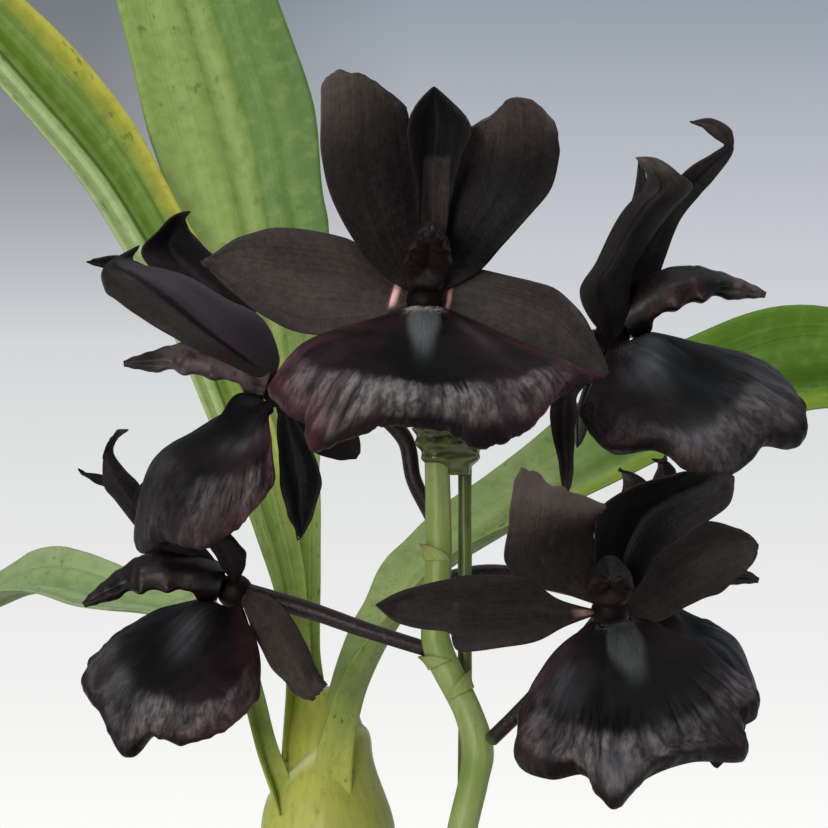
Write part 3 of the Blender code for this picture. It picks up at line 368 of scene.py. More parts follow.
            ((-39.4, -13, 258.7), (-39.6, -15, 255.5), (-39.8, -13, 252.3)),
            ((-44, -13, 262.9), (-44.7, -15, 259.7), (-45.2, -13, 256.9)),
            ((-45.2, -13, 265.6), (-47.6, -15, 263.8), (-49.4, -13, 262.3)),
            ((-47.8, -13, 268.2), (-49.6, -15, 267.1), (-51.3, -14, 265.3)),
            ((-49.7, -14, 270.9), (-50.5, -15, 270.6), (-51.4, -15, 270)),
            ((-49.4, -15, 272.9), (-49.9, -15.5, 272.9), (-50.4, -16, 272.7)),
            ((-48.1, -16, 274.2), (-48.4, -16, 274.6), (-48.8, -16, 274.9)), ((-46.7, -17, 275.1),),
        ),
        "petal_right": (
            ((-27.4, -13, 246.9),), ((-29.1, -15, 249.3), (-27.6, -17, 249.4), (-26, -16, 249.6)),
            ((-31, -17, 252.5), (-28.2, -19, 252.6), (-25.2, -18, 252.5)),
            ((-32.7, -18, 255.6), (-29.7, -20, 255.7), (-27.1, -19, 255.3)),
            ((-34.3, -19, 258.5), (-32.1, -20, 258.6), (-30, -19, 258.2)), ((-34.4, -20, 261.1),),
        ),
        "sepal_left": (
            ((-26.7, -13, 245.4),), ((-22.2, -16, 245.4), (-23.7, -17.5, 243.8), (-25.4, -16, 241.8)),
            ((-17.9, -19, 242.3), (-20.3, -21, 239.9), (-23.1, -19, 237.1)),
            ((-14.9, -21, 237.7), (-17.4, -23.5, 235.6), (-20.2, -21, 232.4)),
            ((-12.7, -23, 232.7), (-14.8, -25, 231.4), (-17.2, -23, 229.1)),
            ((-11.5, -24, 230.8), (-13.4, -25, 229.1), (-14.9, -24, 227.2)),
            ((-10.5, -26, 229.7), (-11.6, -25, 228.4), (-13, -26, 226.8)),
        ),
    },
    "flower_lower_right": {
        "dorsal": (
            ((38.6, -53, 245.3),), ((38.9, -50, 253), (40.7, -49, 252.9), (42.4, -50, 253)),
            ((41.2, -49, 259.8), (43.9, -48, 259.8), (46.4, -49, 259.8)), ((45.2, -49, 264.9), (47.3, -48, 264.9), (49.3, -49, 264.9)),
            ((47.8, -49, 267.5), (49, -49, 267.7), (50.2, -49, 267.5)), ((47.3, -50, 269.3), (47.9, -50, 269.6), (48.5, -50, 269.6)),
            ((45.7, -51, 270.3),),
        ),
        "petal_left": (
            ((37.6, -56, 245.1),),
            ((29.6, -60, 248), (31.3, -59, 248.3), (33.1, -58.5, 248.6), (34.8, -57.5, 249.1), (36.6, -55.5, 249.5)),
            ((23.4, -65, 250.8), (26.3, -63, 251.7), (29.4, -61, 252.4), (32.5, -58.5, 253), (35.9, -55.5, 253.5)),
            ((20.5, -68, 253.7), (23.9, -66, 255.3), (27.6, -63, 256.4), (31.6, -60, 257.1), (35.5, -56, 257.5)),
            ((20.9, -71, 261.6), (24.6, -69, 261.7), (28.3, -67, 261.3), (32.2, -63, 260.9), (36.4, -58.5, 260.8)),
            ((21.7, -73, 266.8), (24.9, -71, 265.9), (28.2, -69, 264.6), (32.2, -65, 263.5), (37.3, -61, 262.3)),
            ((22.6, -74, 269.3), (25.3, -72, 268.3), (28.4, -69.5, 266.1), (32.4, -66, 264.7), (37.1, -62, 263)),
        ),
        "petal_right": (
            ((38.7, -55, 245.4),), ((36.5, -57, 249.5), (38.2, -55, 249.8), (39.9, -54, 249.7), (41.6, -55, 249.4), (42.9, -58, 248.9)),
            ((35.4, -59, 255.9), (38.3, -56, 255.8), (41.3, -54, 255.5), (43.9, -56, 254.4), (45.6, -60, 253.4)),
            ((36.4, -60, 261.5), (40.2, -57, 261.4), (44.3, -54.5, 260.6), (47.7, -57, 259), (50.4, -61, 257.3)),
            ((40.6, -59, 265.2), (45.1, -56, 264.9), (49.4, -54, 264), (53, -56, 262.4), (55.7, -60, 261.1)),
            ((46.7, -57, 267.2), (50.6, -55, 266.8), (54.3, -53.5, 266.1), (56.9, -55, 264.9), (58.6, -58, 263.6)),
            ((50.8, -56, 267.8), (53.7, -54.5, 268.1), (56.1, -54, 268), (58, -54, 267.6), (59.6, -55, 266.8)),
        ),
        "sepal_left": (
            ((37.2, -56, 244.4),), ((29.7, -57, 246.5), (30.1, -56, 244.2), (30.7, -57.5, 242.1)),
            ((24.5, -58, 249.8), (24.9, -56, 245.1), (25.6, -60, 239.7)), ((17.8, -59, 250.8), (17.9, -57, 244.8), (18.4, -62, 238.9)),
            ((13.1, -60, 250.5), (12.9, -58, 245.2), (12.4, -63, 238.3)), ((11.7, -60, 250.4), (11.4, -58, 245.5), (11.1, -61, 241.3)),
            ((6.9, -60, 249.3), (6.7, -58.5, 245.2), (6.7, -60, 241.6)), ((2.3, -60, 247.8), (2.1, -59, 245.2), (2.3, -60, 242.8)),
            ((-1.4, -61, 245.9),),
        ),
        "sepal_right": (
            ((39.1, -53, 244.2),), ((44.5, -49, 252.6), (46.1, -48, 248.1), (46.5, -50, 242.5)),
            ((48, -48, 256.8), (51.1, -46, 251.4), (52.8, -48, 245.3)), ((53.8, -47, 259.6), (56.2, -45, 254.1), (57.7, -47, 247.3)),
            ((59.2, -46, 258.8), (60.7, -45, 254.8), (61.6, -46, 250.2)), ((62.3, -46, 257.6), (63.2, -45.5, 255.4), (63.7, -46, 252.8)),
            ((64.4, -46, 255.4),),
        ),
    },
}
LIPS = {
    "flower_top": (
        ((0, -51, 294.8), (-7.6, -54, 292.6), (-14.3, -57, 289.5), (-20, -58, 282.4)),
        ((0.1, -56, 293.6), (-7.8, -62, 289.6), (-14, -66, 285), (-17.2, -65, 278.5)),
        ((0.9, -59, 292.5), (-5.6, -68, 287.3), (-10, -72, 282.8), (-13.4, -70, 276.5)),
        ((2, -61, 292), (-3.1, -71, 285.9), (-7.2, -75, 281.1), (-11.8, -72, 272.1)),
        ((3.3, -62, 291.4), (0.2, -73, 284.9), (-1.9, -76, 280.3), (-5.2, -72, 274.4)),
        ((5.3, -62, 291.1), (4.7, -74, 284.3), (4, -77, 280), (2.7, -73, 275.7)),
        ((7.7, -62, 291.1), (8.9, -74, 284.1), (9.6, -77, 279.6), (9.6, -73, 274.4)),
        ((9.7, -62, 291.4), (13.2, -73, 284.3), (15, -76, 279.5), (15.9, -72, 272.4)),
        ((11.4, -60, 292), (17.6, -71, 284.8), (20.8, -73, 280.3), (22.7, -70, 273.9)),
        ((12.8, -58, 292.7), (21.3, -67, 286), (25.9, -69, 282.8), (27.4, -66, 278.2)),
        ((13.5, -55, 293.6), (22.8, -61, 287.9), (28.6, -63, 285.4), (31.9, -61, 282.7)),
        ((13.2, -51, 294.8), (22.2, -55, 290.6), (28.9, -57, 287.7), (36.9, -57, 284.4)),
    ),
    "flower_upper_left": (
        ((-22.1, -27, 280.8), (-24.4, -22, 279.6), (-26.4, -19, 277.8), (-28.3, -17, 275.5)),
        ((-24.6, -26, 280.1), (-30.8, -20, 276.6), (-34.6, -17, 273.3), (-38.3, -16, 267.9)),
        ((-26.8, -29, 279.6), (-35, -25, 274.1), (-39.6, -23, 270.1), (-43.2, -23, 261.7)),
        ((-27, -34, 278.9), (-35.7, -34, 272.9), (-41.2, -33, 267.1), (-43.7, -33, 254.7)),
        ((-25.7, -40, 276.1), (-33, -43, 269.7), (-37.3, -43, 263.1), (-38.3, -41, 256.1)),
        ((-23.5, -42, 275.2), (-27, -48, 268.4), (-29.5, -49, 261.5), (-31.1, -46, 255.2)),
        ((-21.8, -41, 276.1), (-22.9, -48, 269.7), (-23.5, -50, 264.1), (-24.2, -48, 259.3)),
        ((-20.5, -38, 277.3), (-19.8, -43, 273.5), (-19.4, -45, 270), (-19, -45, 266.6)),
    ),
    "flower_upper_right": (
        ((47.8, -15, 292.3), (55.4, -11, 291), (61, -9, 289.4), (65.7, -8, 287.5)),
        ((48.5, -18, 292.3), (57.9, -14, 290.2), (64.4, -12, 288.2), (70.4, -11, 285.3)),
        ((49.2, -21, 291.7), (60.2, -19, 289), (67.8, -18, 285.8), (74, -18, 280.9)),
        ((49.3, -25, 290.3), (60.4, -26, 286.7), (68.7, -27, 282.6), (74.8, -27, 279.2)),
        ((49.1, -28, 289.4), (59.5, -31, 284), (67.4, -33, 279.6), (73.2, -33, 273.6)),
        ((48.4, -32, 287.5), (57.2, -37, 281.3), (63.6, -40, 277), (67.1, -39, 273.3)),
        ((47.3, -36, 285.4), (54, -42, 278.7), (58.6, -45, 273.5), (60.8, -43, 267.6)),
        ((46, -37, 284), (50.7, -44, 277.3), (53.4, -47, 272.1), (54.1, -45, 267.3)),
        ((43.8, -36, 283.4), (45.9, -43, 277.8), (46.6, -46, 274.4), (46.1, -45, 271.1)),
        ((40.6, -34, 284.3), (40.2, -40, 279.2), (39.3, -43, 275.2), (38, -43, 271.8)),
        ((38.6, -31, 287.2), (36.2, -36, 282.9), (34.9, -38, 280.1), (33.9, -38, 277.7)),
    ),
    "flower_lower_left": (
        ((-33.5, -6, 244.1), (-39.2, -2, 242.6), (-44, 0, 240.7), (-47.8, 1, 238.2)),
        ((-35.2, -8, 243.1), (-43.7, -5, 239.7), (-49.3, -4, 236.7), (-53.7, -4, 233.3)),
        ((-35.8, -12, 241.9), (-45, -11, 237.7), (-51.4, -11, 234), (-55.3, -12, 229.1)),
        ((-35.6, -16, 240.3), (-43.6, -18, 234.5), (-48.8, -20, 228.7), (-51.9, -20, 224)),
        ((-34.8, -19, 238.7), (-41.4, -23, 231.8), (-44.9, -26, 224.9), (-47.1, -25, 217.5)),
        ((-33.8, -21, 237.4), (-38.5, -26, 230.6), (-41.1, -29, 225.1), (-42.3, -28, 220.6)),
        ((-32.1, -22, 236.6), (-34.1, -28, 229.3), (-35.3, -31, 224.2), (-36.5, -30, 219.5)),
        ((-29.8, -22, 236.9), (-29.1, -28, 230.4), (-28.4, -31, 226), (-27.9, -30, 222.2)),
        ((-25.7, -18, 241.5), (-23.6, -21, 238.1), (-22.6, -23, 233.9), (-22.7, -24, 228.3)),
    ),
    "flower_lower_right": (
        ((32.6, -62, 241.4), (28.7, -66, 238.6), (25.6, -69, 234.7), (22.9, -70, 229.6)),
        ((33.1, -64, 239.3), (29.2, -70, 233.9), (25.4, -74, 228.5), (20.6, -75, 222.1)),
        ((34, -66, 238.3), (31.2, -74, 231.8), (28.8, -79, 225.6), (25.6, -79, 219.1)),
        ((35.5, -67, 237.7), (33.9, -76, 231.1), (32.6, -82, 224.3), (32, -81, 218.8)),
        ((37.1, -67, 237), (36.7, -76, 230.3), (36.3, -83, 222.8), (37.5, -82, 213.4)),
        ((39.6, -67, 237.4), (41.1, -76, 230.8), (42.2, -82, 223.8), (43.7, -81, 218.3)),
        ((42.2, -66, 238.3), (45.8, -74, 232.1), (48.9, -79, 225.6), (51.7, -78, 221.1)),
        ((44.1, -65, 239.4), (49.8, -71, 234), (54.7, -76, 228.1), (60.5, -75, 221.7)),
        ((45.3, -63, 240.4), (52.1, -69, 235.8), (57.2, -72, 231.3), (59.3, -72, 225.8)),
        ((46.4, -61, 241.3), (53.4, -66, 237.8), (58.8, -69, 233.3), (63.4, -69, 229.5)),
        ((46.5, -59, 242.2), (52.1, -63, 239.8), (57, -65, 236.2), (61.2, -65, 232.9)),
    ),
}
# Strength and place of the pink crests, at a sepal's foot or tip; place, purple and painted shade of the folded petals'
# creases, a dark line painted along each fold; and the sepal whose flat middle band is painted light, paler than its
# cupped top
CRESTS = {
    ("flower_top", "sepal_left"): (1, 0.105), ("flower_top", "sepal_right"): (0.5, 0.09),
    ("flower_lower_right", "sepal_left"): (0.35, 0.055), ("flower_upper_left", "sepal_left"): (1, 0.9),
    ("flower_upper_right", "sepal_left"): (0.8, 0.93),
}
CREASES = {("flower_upper_left", "petal_left"): (0.12, 1, 1.2), ("flower_upper_right", "petal_left"): (-0.25, 0.3, 0.35)}
LIT_FLAT_BAND = ("flower_top", "dorsal")
HUB_RADIUS = 3.3
CAD_GAP = 0.35
CAD_LIP_THICKNESS = 1.5
# How far from the flower's middle a lip springs
LIP_ROOT = HUB_RADIUS + CAD_GAP + CAD_LIP_THICKNESS / 2 + 0.2
# Where the axis of each lip runs between its margins at -1 and 1
LIP_MIDDLES = {
    "flower_top": 0, "flower_upper_left": -0.14, "flower_upper_right": -0.25, "flower_lower_left": -0.3, "flower_lower_right": 0.08,
}
# Rows and columns of the blades' grids, fewer on the flower that stands behind another one
BEHIND = "flower_back_right"
TEPAL_GRID, BEHIND_TEPAL_GRID = (72, 36), (40, 20)
LIP_GRID, BEHIND_LIP_GRID = (80, 190), (40, 100)
# Reach of the lip's rim, as a share of its length, from its middle to the end of each side lobe
LIP_OUTLINE = ((0, 0.96), (0.3, 0.98), (0.55, 1.1), (0.74, 1.12), (0.9, 0.98), (1, 0.7))
CALLUS = 2.2
RIM_WAVE = 0.9
# Half width along a piece: base share, power towards the base, power towards the tip
OUTLINES = {SEPAL: (0.30, 0.75, 0.62), PETAL: (0.26, 1.1, 0.36)}
CURL_START = 0.72
NET_STEP = 0.004
# The rim of a lip turns back from this share of its length, by so many millimetres
ROLL_START, ROLL_DEPTH = 0.88, 2.6
# A lip without a net droops from this share of its length
DROOP_START = 0.72
# What marks each lip: half width, end and strength of the grey pad; place of the black hollow, whose black is painted
# shade;
# where the wrinkled band starts, how much later at the sides, where it ends and how much sooner in the middle; how
# strongly that band's painted highlight and the maroon of the rim show from side to side; soft gleams of painted sheen
# (place, reach and strength); the white fringe, the wrinkles and the roll
LipLook = namedtuple("LipLook", "pad hollow band shine pink gleams frost folds drop")
LIP_LOOKS = {
    "flower_top": LipLook(
        (3.2, 0.37, 1), (0.44, 0.02), (0.54, 0.22, 0.97, 0.12),
        ((-1, 0.7), (-0.7, 0.8), (-0.45, 1), (0.05, 1), (0.3, 0.85), (0.6, 0.9), (0.8, 0.6), (1, 0.2)),
        ((-1, 0.9), (-0.7, 0.75), (-0.5, 0.9), (-0.35, 0.3), (0, 0.1), (0.4, 0.4), (0.65, 1), (1, 0.8)),
        ((0.3, 0.66, 0.1, 0.1, 0.25),), 1, 13, 1.5),
    "flower_upper_left": LipLook(
        (2, 0.2, 0.2), (0.35, -0.2), (0.55, 0, 1, 0),
        ((-1, 0.1), (-0.2, 0.2), (0.1, 0.15), (0.3, 0.3), (0.45, 0.65), (0.75, 0.8), (1, 0.6)),
        ((-1, 0), (0.2, 0.2), (0.6, 0.7), (1, 1)),
        ((0.6, -0.3, 0.18, 0.16, 0.45), (0.36, 0.5, 0.06, 0.3, 0.45)), 0, 7, 0.7),
    "flower_upper_right": LipLook(
        (5, 0.36, 0.1), (0.42, -0.15), (0.6, 0.1, 0.97, 0),
        ((-1, 0.1), (-0.6, 0.12), (-0.3, 0.4), (-0.05, 0.65), (0.2, 0.55), (0.45, 0.4), (0.6, 0.1), (1, 0.02)),
        ((-1, 0), (0.1, 0.05), (0.45, 0.25), (1, 0.35)),
        ((0.2, 0.2, 0.12, 0.4, 0.9), (0.68, 0.35, 0.1, 0.2, 0.35)), 0.08, 7, 1),
    "flower_lower_left": LipLook(
        (3, 0.34, 0.1), (0.5, -0.2), (0.62, 0, 0.97, 0),
        ((-1, 0.1), (-0.5, 0.35), (-0.1, 0.4), (0.2, 0.8), (0.5, 0.9), (0.75, 0.5), (1, 0.15)),
        ((-1, 0.1), (0.3, 0.1), (0.7, 0.6), (1, 1)),
        ((0.27, 0.0, 0.12, 0.36, 1), (0.7, -0.3, 0.12, 0.25, 0.4)), 0, 6, 0.8),
    "flower_lower_right": LipLook(
        (3.2, 0.42, 0.5), (0.53, -0.08), (0.64, 0.06, 0.98, 0),
        ((-1, 0.1), (-0.7, 0.5), (-0.45, 0.7), (-0.2, 1), (0, 0.9), (0.2, 0.5), (0.5, 0.3), (0.8, 0.45), (1, 0.2)),
        ((-1, 0.6), (-0.5, 0.12), (-0.1, 0.05), (0.4, 0.1), (1, 0.3)),
        ((0.5, -0.7, 0.13, 0.2, 0.4), (0.75, 0.78, 0.14, 0.12, 0.5), (0.84, -0.16, 0.08, 0.12, 0.8)), 0.12, 10, 2.4),
    "flower_back_right": LipLook(
        (2, 0.2, 0.2), (0.4, 0), (0.6, 0, 1, 0), ((-1, 0.2), (1, 0.2)), ((-1, 0.1), (1, 0.1)), ((0.5, 0.2, 0.2, 0.3, 0.5),), 0, 6, 1),
}
COLUMN_RINGS = (
    (0, 3.2, 4.0), (0.2, 4.0, 4.6), (0.4, 4.2, 4.7), (0.55, 3.7, 4.2), (0.7, 2.6, 2.9), (0.82, 1.7, 1.8), (0.92, 1.1, 1.0), (1, 0.5, 0.45),
)
# Teeth on the two wings under the column: share of its length, half width of the tooth and its size
COLUMN_TEETH = ((0.6, 0.05, 0.32), (0.38, 0.06, 0.26), (0.24, 0.04, 0.12))
COLUMN_GRID = (64, 72)
STALK_RADIUS = 1.35
STALK_END_RADIUS = 1.9
STALK_STEPS, STALK_SIDES = 40, 20

# Camera and stage
CAMERA = (5, -650, 278)
SENSOR = 36
LENS = 152.17
# A plain studio backdrop by the height of the view, as the Z of its direction: near white, light grey, then grey blue
BACKDROP = ((-0.6, "d8d8d6"), (-0.12, "fcfcfa"), (0, "dcdede"), (0.05, "c6c8d0"), (0.12, "949ea8"), (0.55, "b4bac2"), (1, "eceef1"))
# The darker room behind the camera, which is what dark petals mirror
ROOM = ((-0.6, "bdbcb8"), (-0.15, "8d8d8c"), (0.1, "77797c"), (0.45, "94989d"), (0.8, "d2d5d8"), (1, "eceef1"))
BACKDROP_LOW, BACKDROP_HIGH = -0.6, 1.0
FLOOR_RADIUS, FLOOR_SIDES = 1350, 96
# Soft lights: place, width, watts and tone, all turned to one point
LAMPS = {"overhead_softbox": ((-250, -750, 1500), 700, 10, "ffffff"), "front_softbox": ((-600, -1500, 500), 500, 13, "fffaf4")}
LAMP_AIM = (0, 0, 270)

# Input sockets of a colour Mix node, and the settings of that node and of the sums that are used most
FIRST, SECOND = 6, 7
MIXED = {"out": 2, "data_type": "RGBA"}
TIMES, PLUS = {"operation": "MULTIPLY"}, {"operation": "ADD"}


# ---------------------------------------------------------------- settings


def linear(code):
    """An sRGB hex code as linear red, green and blue."""
    values = [int(code[i:i + 2], 16) / 255 for i in (0, 2, 4)]
    return [v / 12.92 if v <= 0.04045 else ((v + 0.055) / 1.055) ** 2.4 for v in values]


def colour(name, description, code):
    return FloatVectorProperty(name=name, description=description, default=linear(code), subtype="COLOR", size=3, min=0, max=1)


def length(name, description, default):
    return FloatProperty(name=name, description=description, default=default * MM, unit="LENGTH", precision=5, min=0)


class OrchidSizes(bpy.types.PropertyGroup):
    """Sizes of the detail that the solids leave out"""

    petal_thickness: length("Petal thickness", "Thickness of the petals and sepals at their middle", 0.75)
    lip_thickness: length("Lip thickness", "Thickness of the fleshy lip at its middle", 1.2)
    leaf_thickness: length("Leaf thickness", "Thickness of a leaf at its middle", 0.8)
    pleat_depth: length("Pleat depth", "Height of the pleats of a leaf over its face", 0.7)
    crinkle_depth: length("Crinkle depth", "Depth of the wrinkles near the rim of a lip", 0.45)
    vein_relief: length("Vein relief", "Height of the fine veins on petals and leaves", 0.08)
    chip_seed: IntProperty(name="Chip seed", description="Draw that places the bark chips", default=BARK_SEED, min=0)


class OrchidColours(bpy.types.PropertyGroup):
    """Colours of the plant, its pot and its bark"""

    petal_purple: colour("Petal, purple", "The purple face of a folded petal", "322a31")
    petal_margin: colour("Petal margin", "The thin red edge of petals and sepals", "4d1f27")
    crest: colour("Crest", "The pink crests by the column", "dfb0a6")
    # painted highlight: the light tone painted on the crests of the lip's wrinkles
    lip_ridge_highlight: colour("Lip, ridges", "The ridges of the wrinkled band of a lip", "6b6667")
    lip_gleam: colour("Lip, gleam", "The soft grey sheen in the throat of a lip", "505256")
    lip_rim: colour("Lip rim", "The maroon rim of the lip", "43242c")
    callus: colour("Callus", "The grey pad in the throat of the lip", "4e5152")
    column: colour("Column", "The black of the column", "120c0e")
    column_flush: colour("Column flush", "The crimson side of the column", "3d0d19")
    stalk_green: colour("Stalk, green", "The flower stalk by the spike", "5b6238")
    stalk_dark: colour("Stalk, dark", "The dark purple flower stalk", "22161a")
    spike: colour("Spike", "The flower spike", "768a3e")
    growth: colour("Growth", "The yellow green leafy growth", "b8be4e")
    sheath_margin: colour("Sheath margin", "The pale margin of a sheath", "d3d69b")
    old_growth: colour("Old growth", "The leafless growths", "7d7b48")
    clay: colour("Clay", "The fired clay", "ad6a4a")
    bark: colour("Bark", "The bark chips", "5a3b2a")


# ---------------------------------------------------------------- geometry helpers


def interpolate(points, share):
    """A value between the points of a short list of (place, value...), eased so that it has no corners."""
    for (a, *low), (b, *high) in zip(points, points[1:]):
        if share <= b:
            t = (share - a) / (b - a)
            t = t * t * (3 - 2 * t)
            return [x + (y - x) * t for x, y in zip(low, high)]
    return list(points[-1][1:])


def smooth_route(points, share):
    """A point on the smooth curve through all points (Catmull-Rom), with any radius carried along."""
    place = min(share, 0.99999) * (len(points) - 1)
    i = int(place)
    t = place - i
    p0, p1, p2, p3 = (points[min(max(k, 0), len(points) - 1)] for k in (i - 1, i, i + 1, i + 2))
    return [
        0.5 * (2 * b + (c - a) * t + (2 * a - 5 * b + 4 * c - d) * t * t + (3 * b - a - 3 * c + d) * t ** 3)
        for a, b, c, d in zip(p0, p1, p2, p3)
    ]


def ease(low, high, value):
    t = min(max((value - low) / (high - low), 0), 1)
    return t * t * (3 - 2 * t)


def hump(*offsets, power=2):
    """1 where all offsets are 0, falling smoothly to 0 beyond 1 or so."""
    return math.exp(-sum(offset ** power for offset in offsets))


def ripple(*place):
    """Smooth noise from -1 to 1 at a place of up to three coordinates."""
    return noise.noise(Vector((*place, 0, 0, 0)[:3]))


def add_object(name, mesh):
    obj = bpy.data.objects.new(name, mesh)
    bpy.context.scene.collection.objects.link(obj)
    return obj


def from_bmesh(name, bm):
    mesh = bpy.data.meshes.new(name)
    bm.to_mesh(mesh)
    bm.free()
    mesh.shade_smooth()
    return add_object(name, mesh)


def bake(obj):
    """The object with its modifiers applied."""
    graph = bpy.context.evaluated_depsgraph_get()
    mesh = bpy.data.meshes.new_from_object(obj.evaluated_get(graph))
    obj.modifiers.clear()
    old, obj.data = obj.data, mesh
    bpy.data.meshes.remove(old)
    return obj


def mark(obj, name, value):
    """Gives every point a number that a material reads: one for all, or a function of the point's index and place."""
    points = obj.data.vertices
    layer = obj.data.attributes.get(name) or obj.data.attributes.new(name, "FLOAT", "POINT")
    layer.data.foreach_set("value", [value(point.index, point.co) if callable(value) else value for point in points])


def join(objects, name):
    first = objects[0]
    chosen = {"selected_objects": objects, "selected_editable_objects": objects}
    with bpy.context.temp_override(active_object=first, object=first, **chosen):
        bpy.ops.object.join()
    first.name = name
    first.data.name = name
    return first


def dress(obj, finish, node):
    """Gives a piece its finish and puts it in the place of a solid."""
    obj.data.materials.clear()
    obj.data.materials.append(finish)
    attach(obj, BODY)
    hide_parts(node)
    return obj


def sheet(name, rows, columns, place, thickness, thin_edge=0.35, paints=None):
    """A thin closed blade whose points go where place(u, v) says, u from base to tip and v from -1 to 1.

    Its UV map holds v across and u along. Each of paints is an attribute with its function of u and v; "under" is 1 below.
    """
    bm = bmesh.new()
    uv = bm.loops.layers.uv.new("UVMap")
    bmesh.ops.create_grid(bm, x_segments=columns, y_segments=rows, size=1)
    for face in bm.faces:
        for loop in face.loops:
            loop[uv].uv = ((loop.vert.co.x + 1) / 2, (loop.vert.co.y + 1) / 2)
    group = bm.verts.layers.deform.verify()
    for key in paints or {}:
        bm.verts.layers.float.new(key)
    painted = [(bm.verts.layers.float[key], value) for key, value in (paints or {}).items()]
    for vert in bm.verts:
        u, v = (vert.co.y + 1) / 2, vert.co.x
        vert[group][0] = 1 - max(abs(v), u) ** 6
        for layer, value in painted:
            vert[layer] = value(u, v)
        vert.co = place(u, v) * MM
    bmesh.ops.remove_doubles(bm, verts=bm.verts, dist=0.02 * MM)
    obj = from_bmesh(name, bm)
    obj.vertex_groups.new(name="body")
    count = len(obj.data.vertices)
    wall = obj.modifiers.new("thickness", "SOLIDIFY")
    wall.thickness = thickness
    wall.offset = 0
    wall.vertex_group = "body"
    wall.thickness_vertex_group = thin_edge
    bake(obj)
    mark(obj, "under", lambda index, co: float(index >= count))
    return obj


def turned(name, profile, sides, ring=False):
    """A round piece: (radius, height) points from axis to axis, or round a ring's section, spun once about Z."""
    bm = bmesh.new()
    verts = [bm.verts.new((radius * MM, 0, height * MM)) for radius, height in profile]
    edges = [bm.edges.new(pair) for pair in zip(verts, verts[1:] + (verts[:1] if ring else []))]
    bmesh.ops.spin(bm, geom=verts + edges, cent=(0, 0, 0), axis=(0, 0, 1), angle=math.tau, steps=sides, use_merge=True)
    bmesh.ops.remove_doubles(bm, verts=bm.verts, dist=0.001 * MM)
    bmesh.ops.recalc_face_normals(bm, faces=bm.faces)
    return from_bmesh(name, bm)


def face_outwards(obj):
    bm = bmesh.new()
    bm.from_mesh(obj.data)
    bmesh.ops.recalc_face_normals(bm, faces=bm.faces)
    bm.to_mesh(obj.data)
    bm.free()


def warped_barrel(name, sides, rings, place):
    """A closed round body: a capped cylinder whose points go where place(share, turn, spread) says."""
    profile = [(0, 0)] + [(1, step / rings) for step in range(rings + 1)] + [(0, 1)]
    body = turned(name, profile, sides)
    for vert in body.data.vertices:
        x, y, z = vert.co / MM
        vert.co = place(z, math.atan2(y, x), math.hypot(x, y)) * MM
    return body


def tube(name, route, sides):
    """A round stem with closed ends through points of (x, y, z, radius), with its share of the length in "paint"."""
    steps = len(route) - 1
    points = [Vector(point[:3]) for point in route]
    tangents = [(points[min(i + 1, steps)] - points[max(i - 1, 0)]).normalized() for i in range(steps + 1)]
    across = tangents[0].orthogonal().normalized()
    frames = []
    for tangent in tangents:
        across = (across - tangent * across.dot(tangent)).normalized()
        frames.append((across.copy(), tangent.cross(across)))

    def place(share, turn, spread):
        i = min(round(share * steps), steps)
        first, second = frames[i]
        return points[i] + (first * math.cos(turn) + second * math.sin(turn)) * route[i][3] * spread

    stem = warped_barrel(name, sides, steps, place)
    face_outwards(stem)

    def share(index, co):
        near = min(range(steps + 1), key=lambda i: (points[i] * MM - co).length_squared)
        return near / steps

    mark(stem, "paint", share)
    return stem


# ---------------------------------------------------------------- material helpers


def add_node(tree, kind, inputs=(), out=0, stops=(), **settings):
    """Adds a shader node with its settings, inputs (values, hex colours or outputs to link) and a ramp's stops; gives an output."""
    made = tree.nodes.new("ShaderNode" + kind)
    for name, value in settings.items():
        setattr(made, name, value)
    for name, value in (inputs.items() if isinstance(inputs, dict) else enumerate(inputs)):
        socket = made.inputs[name]
        if isinstance(value, bpy.types.NodeSocket):
            tree.links.new(value, socket)
        else:
            value = linear(value) if isinstance(value, str) else value
            socket.default_value = (*value, 1) if socket.type == "RGBA" and len(value) == 3 else value
    if stops:
        elements = made.color_ramp.elements
        while len(elements) < len(stops):
            elements.new(0.5)
        for element, (position, tone) in zip(elements, stops):
            element.position = position
            element.color = (*(linear(tone) if isinstance(tone, str) else tone), 1)
    return made.outputs[out]


def new_finish(name, **sockets):
    made = bpy.data.materials.new(name)
    made.use_nodes = True
    shader = made.node_tree.nodes["Principled BSDF"]
    for socket, value in sockets.items():
        shader.inputs[socket.replace("_", " ")].default_value = value
    return made, made.node_tree, shader


def plug(tree, shader, **outputs):
    """Links outputs to the shader's inputs of the same names."""
    for name, output in outputs.items():
        tree.links.new(output, shader.inputs[name.replace("_", " ")])


def blade_places(tree):
    """Where a point lies on a blade: across from 0 to 1, and along from 0 to 1."""
    uv = add_node(tree, "UVMap", uv_map="UVMap")
    across, along = (add_node(tree, "SeparateXYZ", (uv,), axis) for axis in "XY")
    return uv, across, along


def streaks(tree, uv, count, stretch, detail=3.0):
    """Long fine lines that run from the base of a blade to its tip."""
    stretched = add_node(tree, "Mapping", {"Vector": uv, "Scale": (count, stretch, 1)})
    return add_node(tree, "TexNoise", {"Vector": stretched, "Scale": 1.0, "Detail": detail, "Roughness": 0.6})


def grain(tree, size, detail=2.0, scale=None):
    """Fine noise whose lumps are size millimetres across, and longer along an axis whose scale is under 1."""
    place = add_node(tree, "TexCoord", out="Object")
    if scale:
        place = add_node(tree, "Mapping", {"Vector": place, "Scale": scale})
    return add_node(tree, "TexNoise", {"Vector": place, "Scale": 1 / (size * MM), "Detail": detail})


# ---------------------------------------------------------------- materials


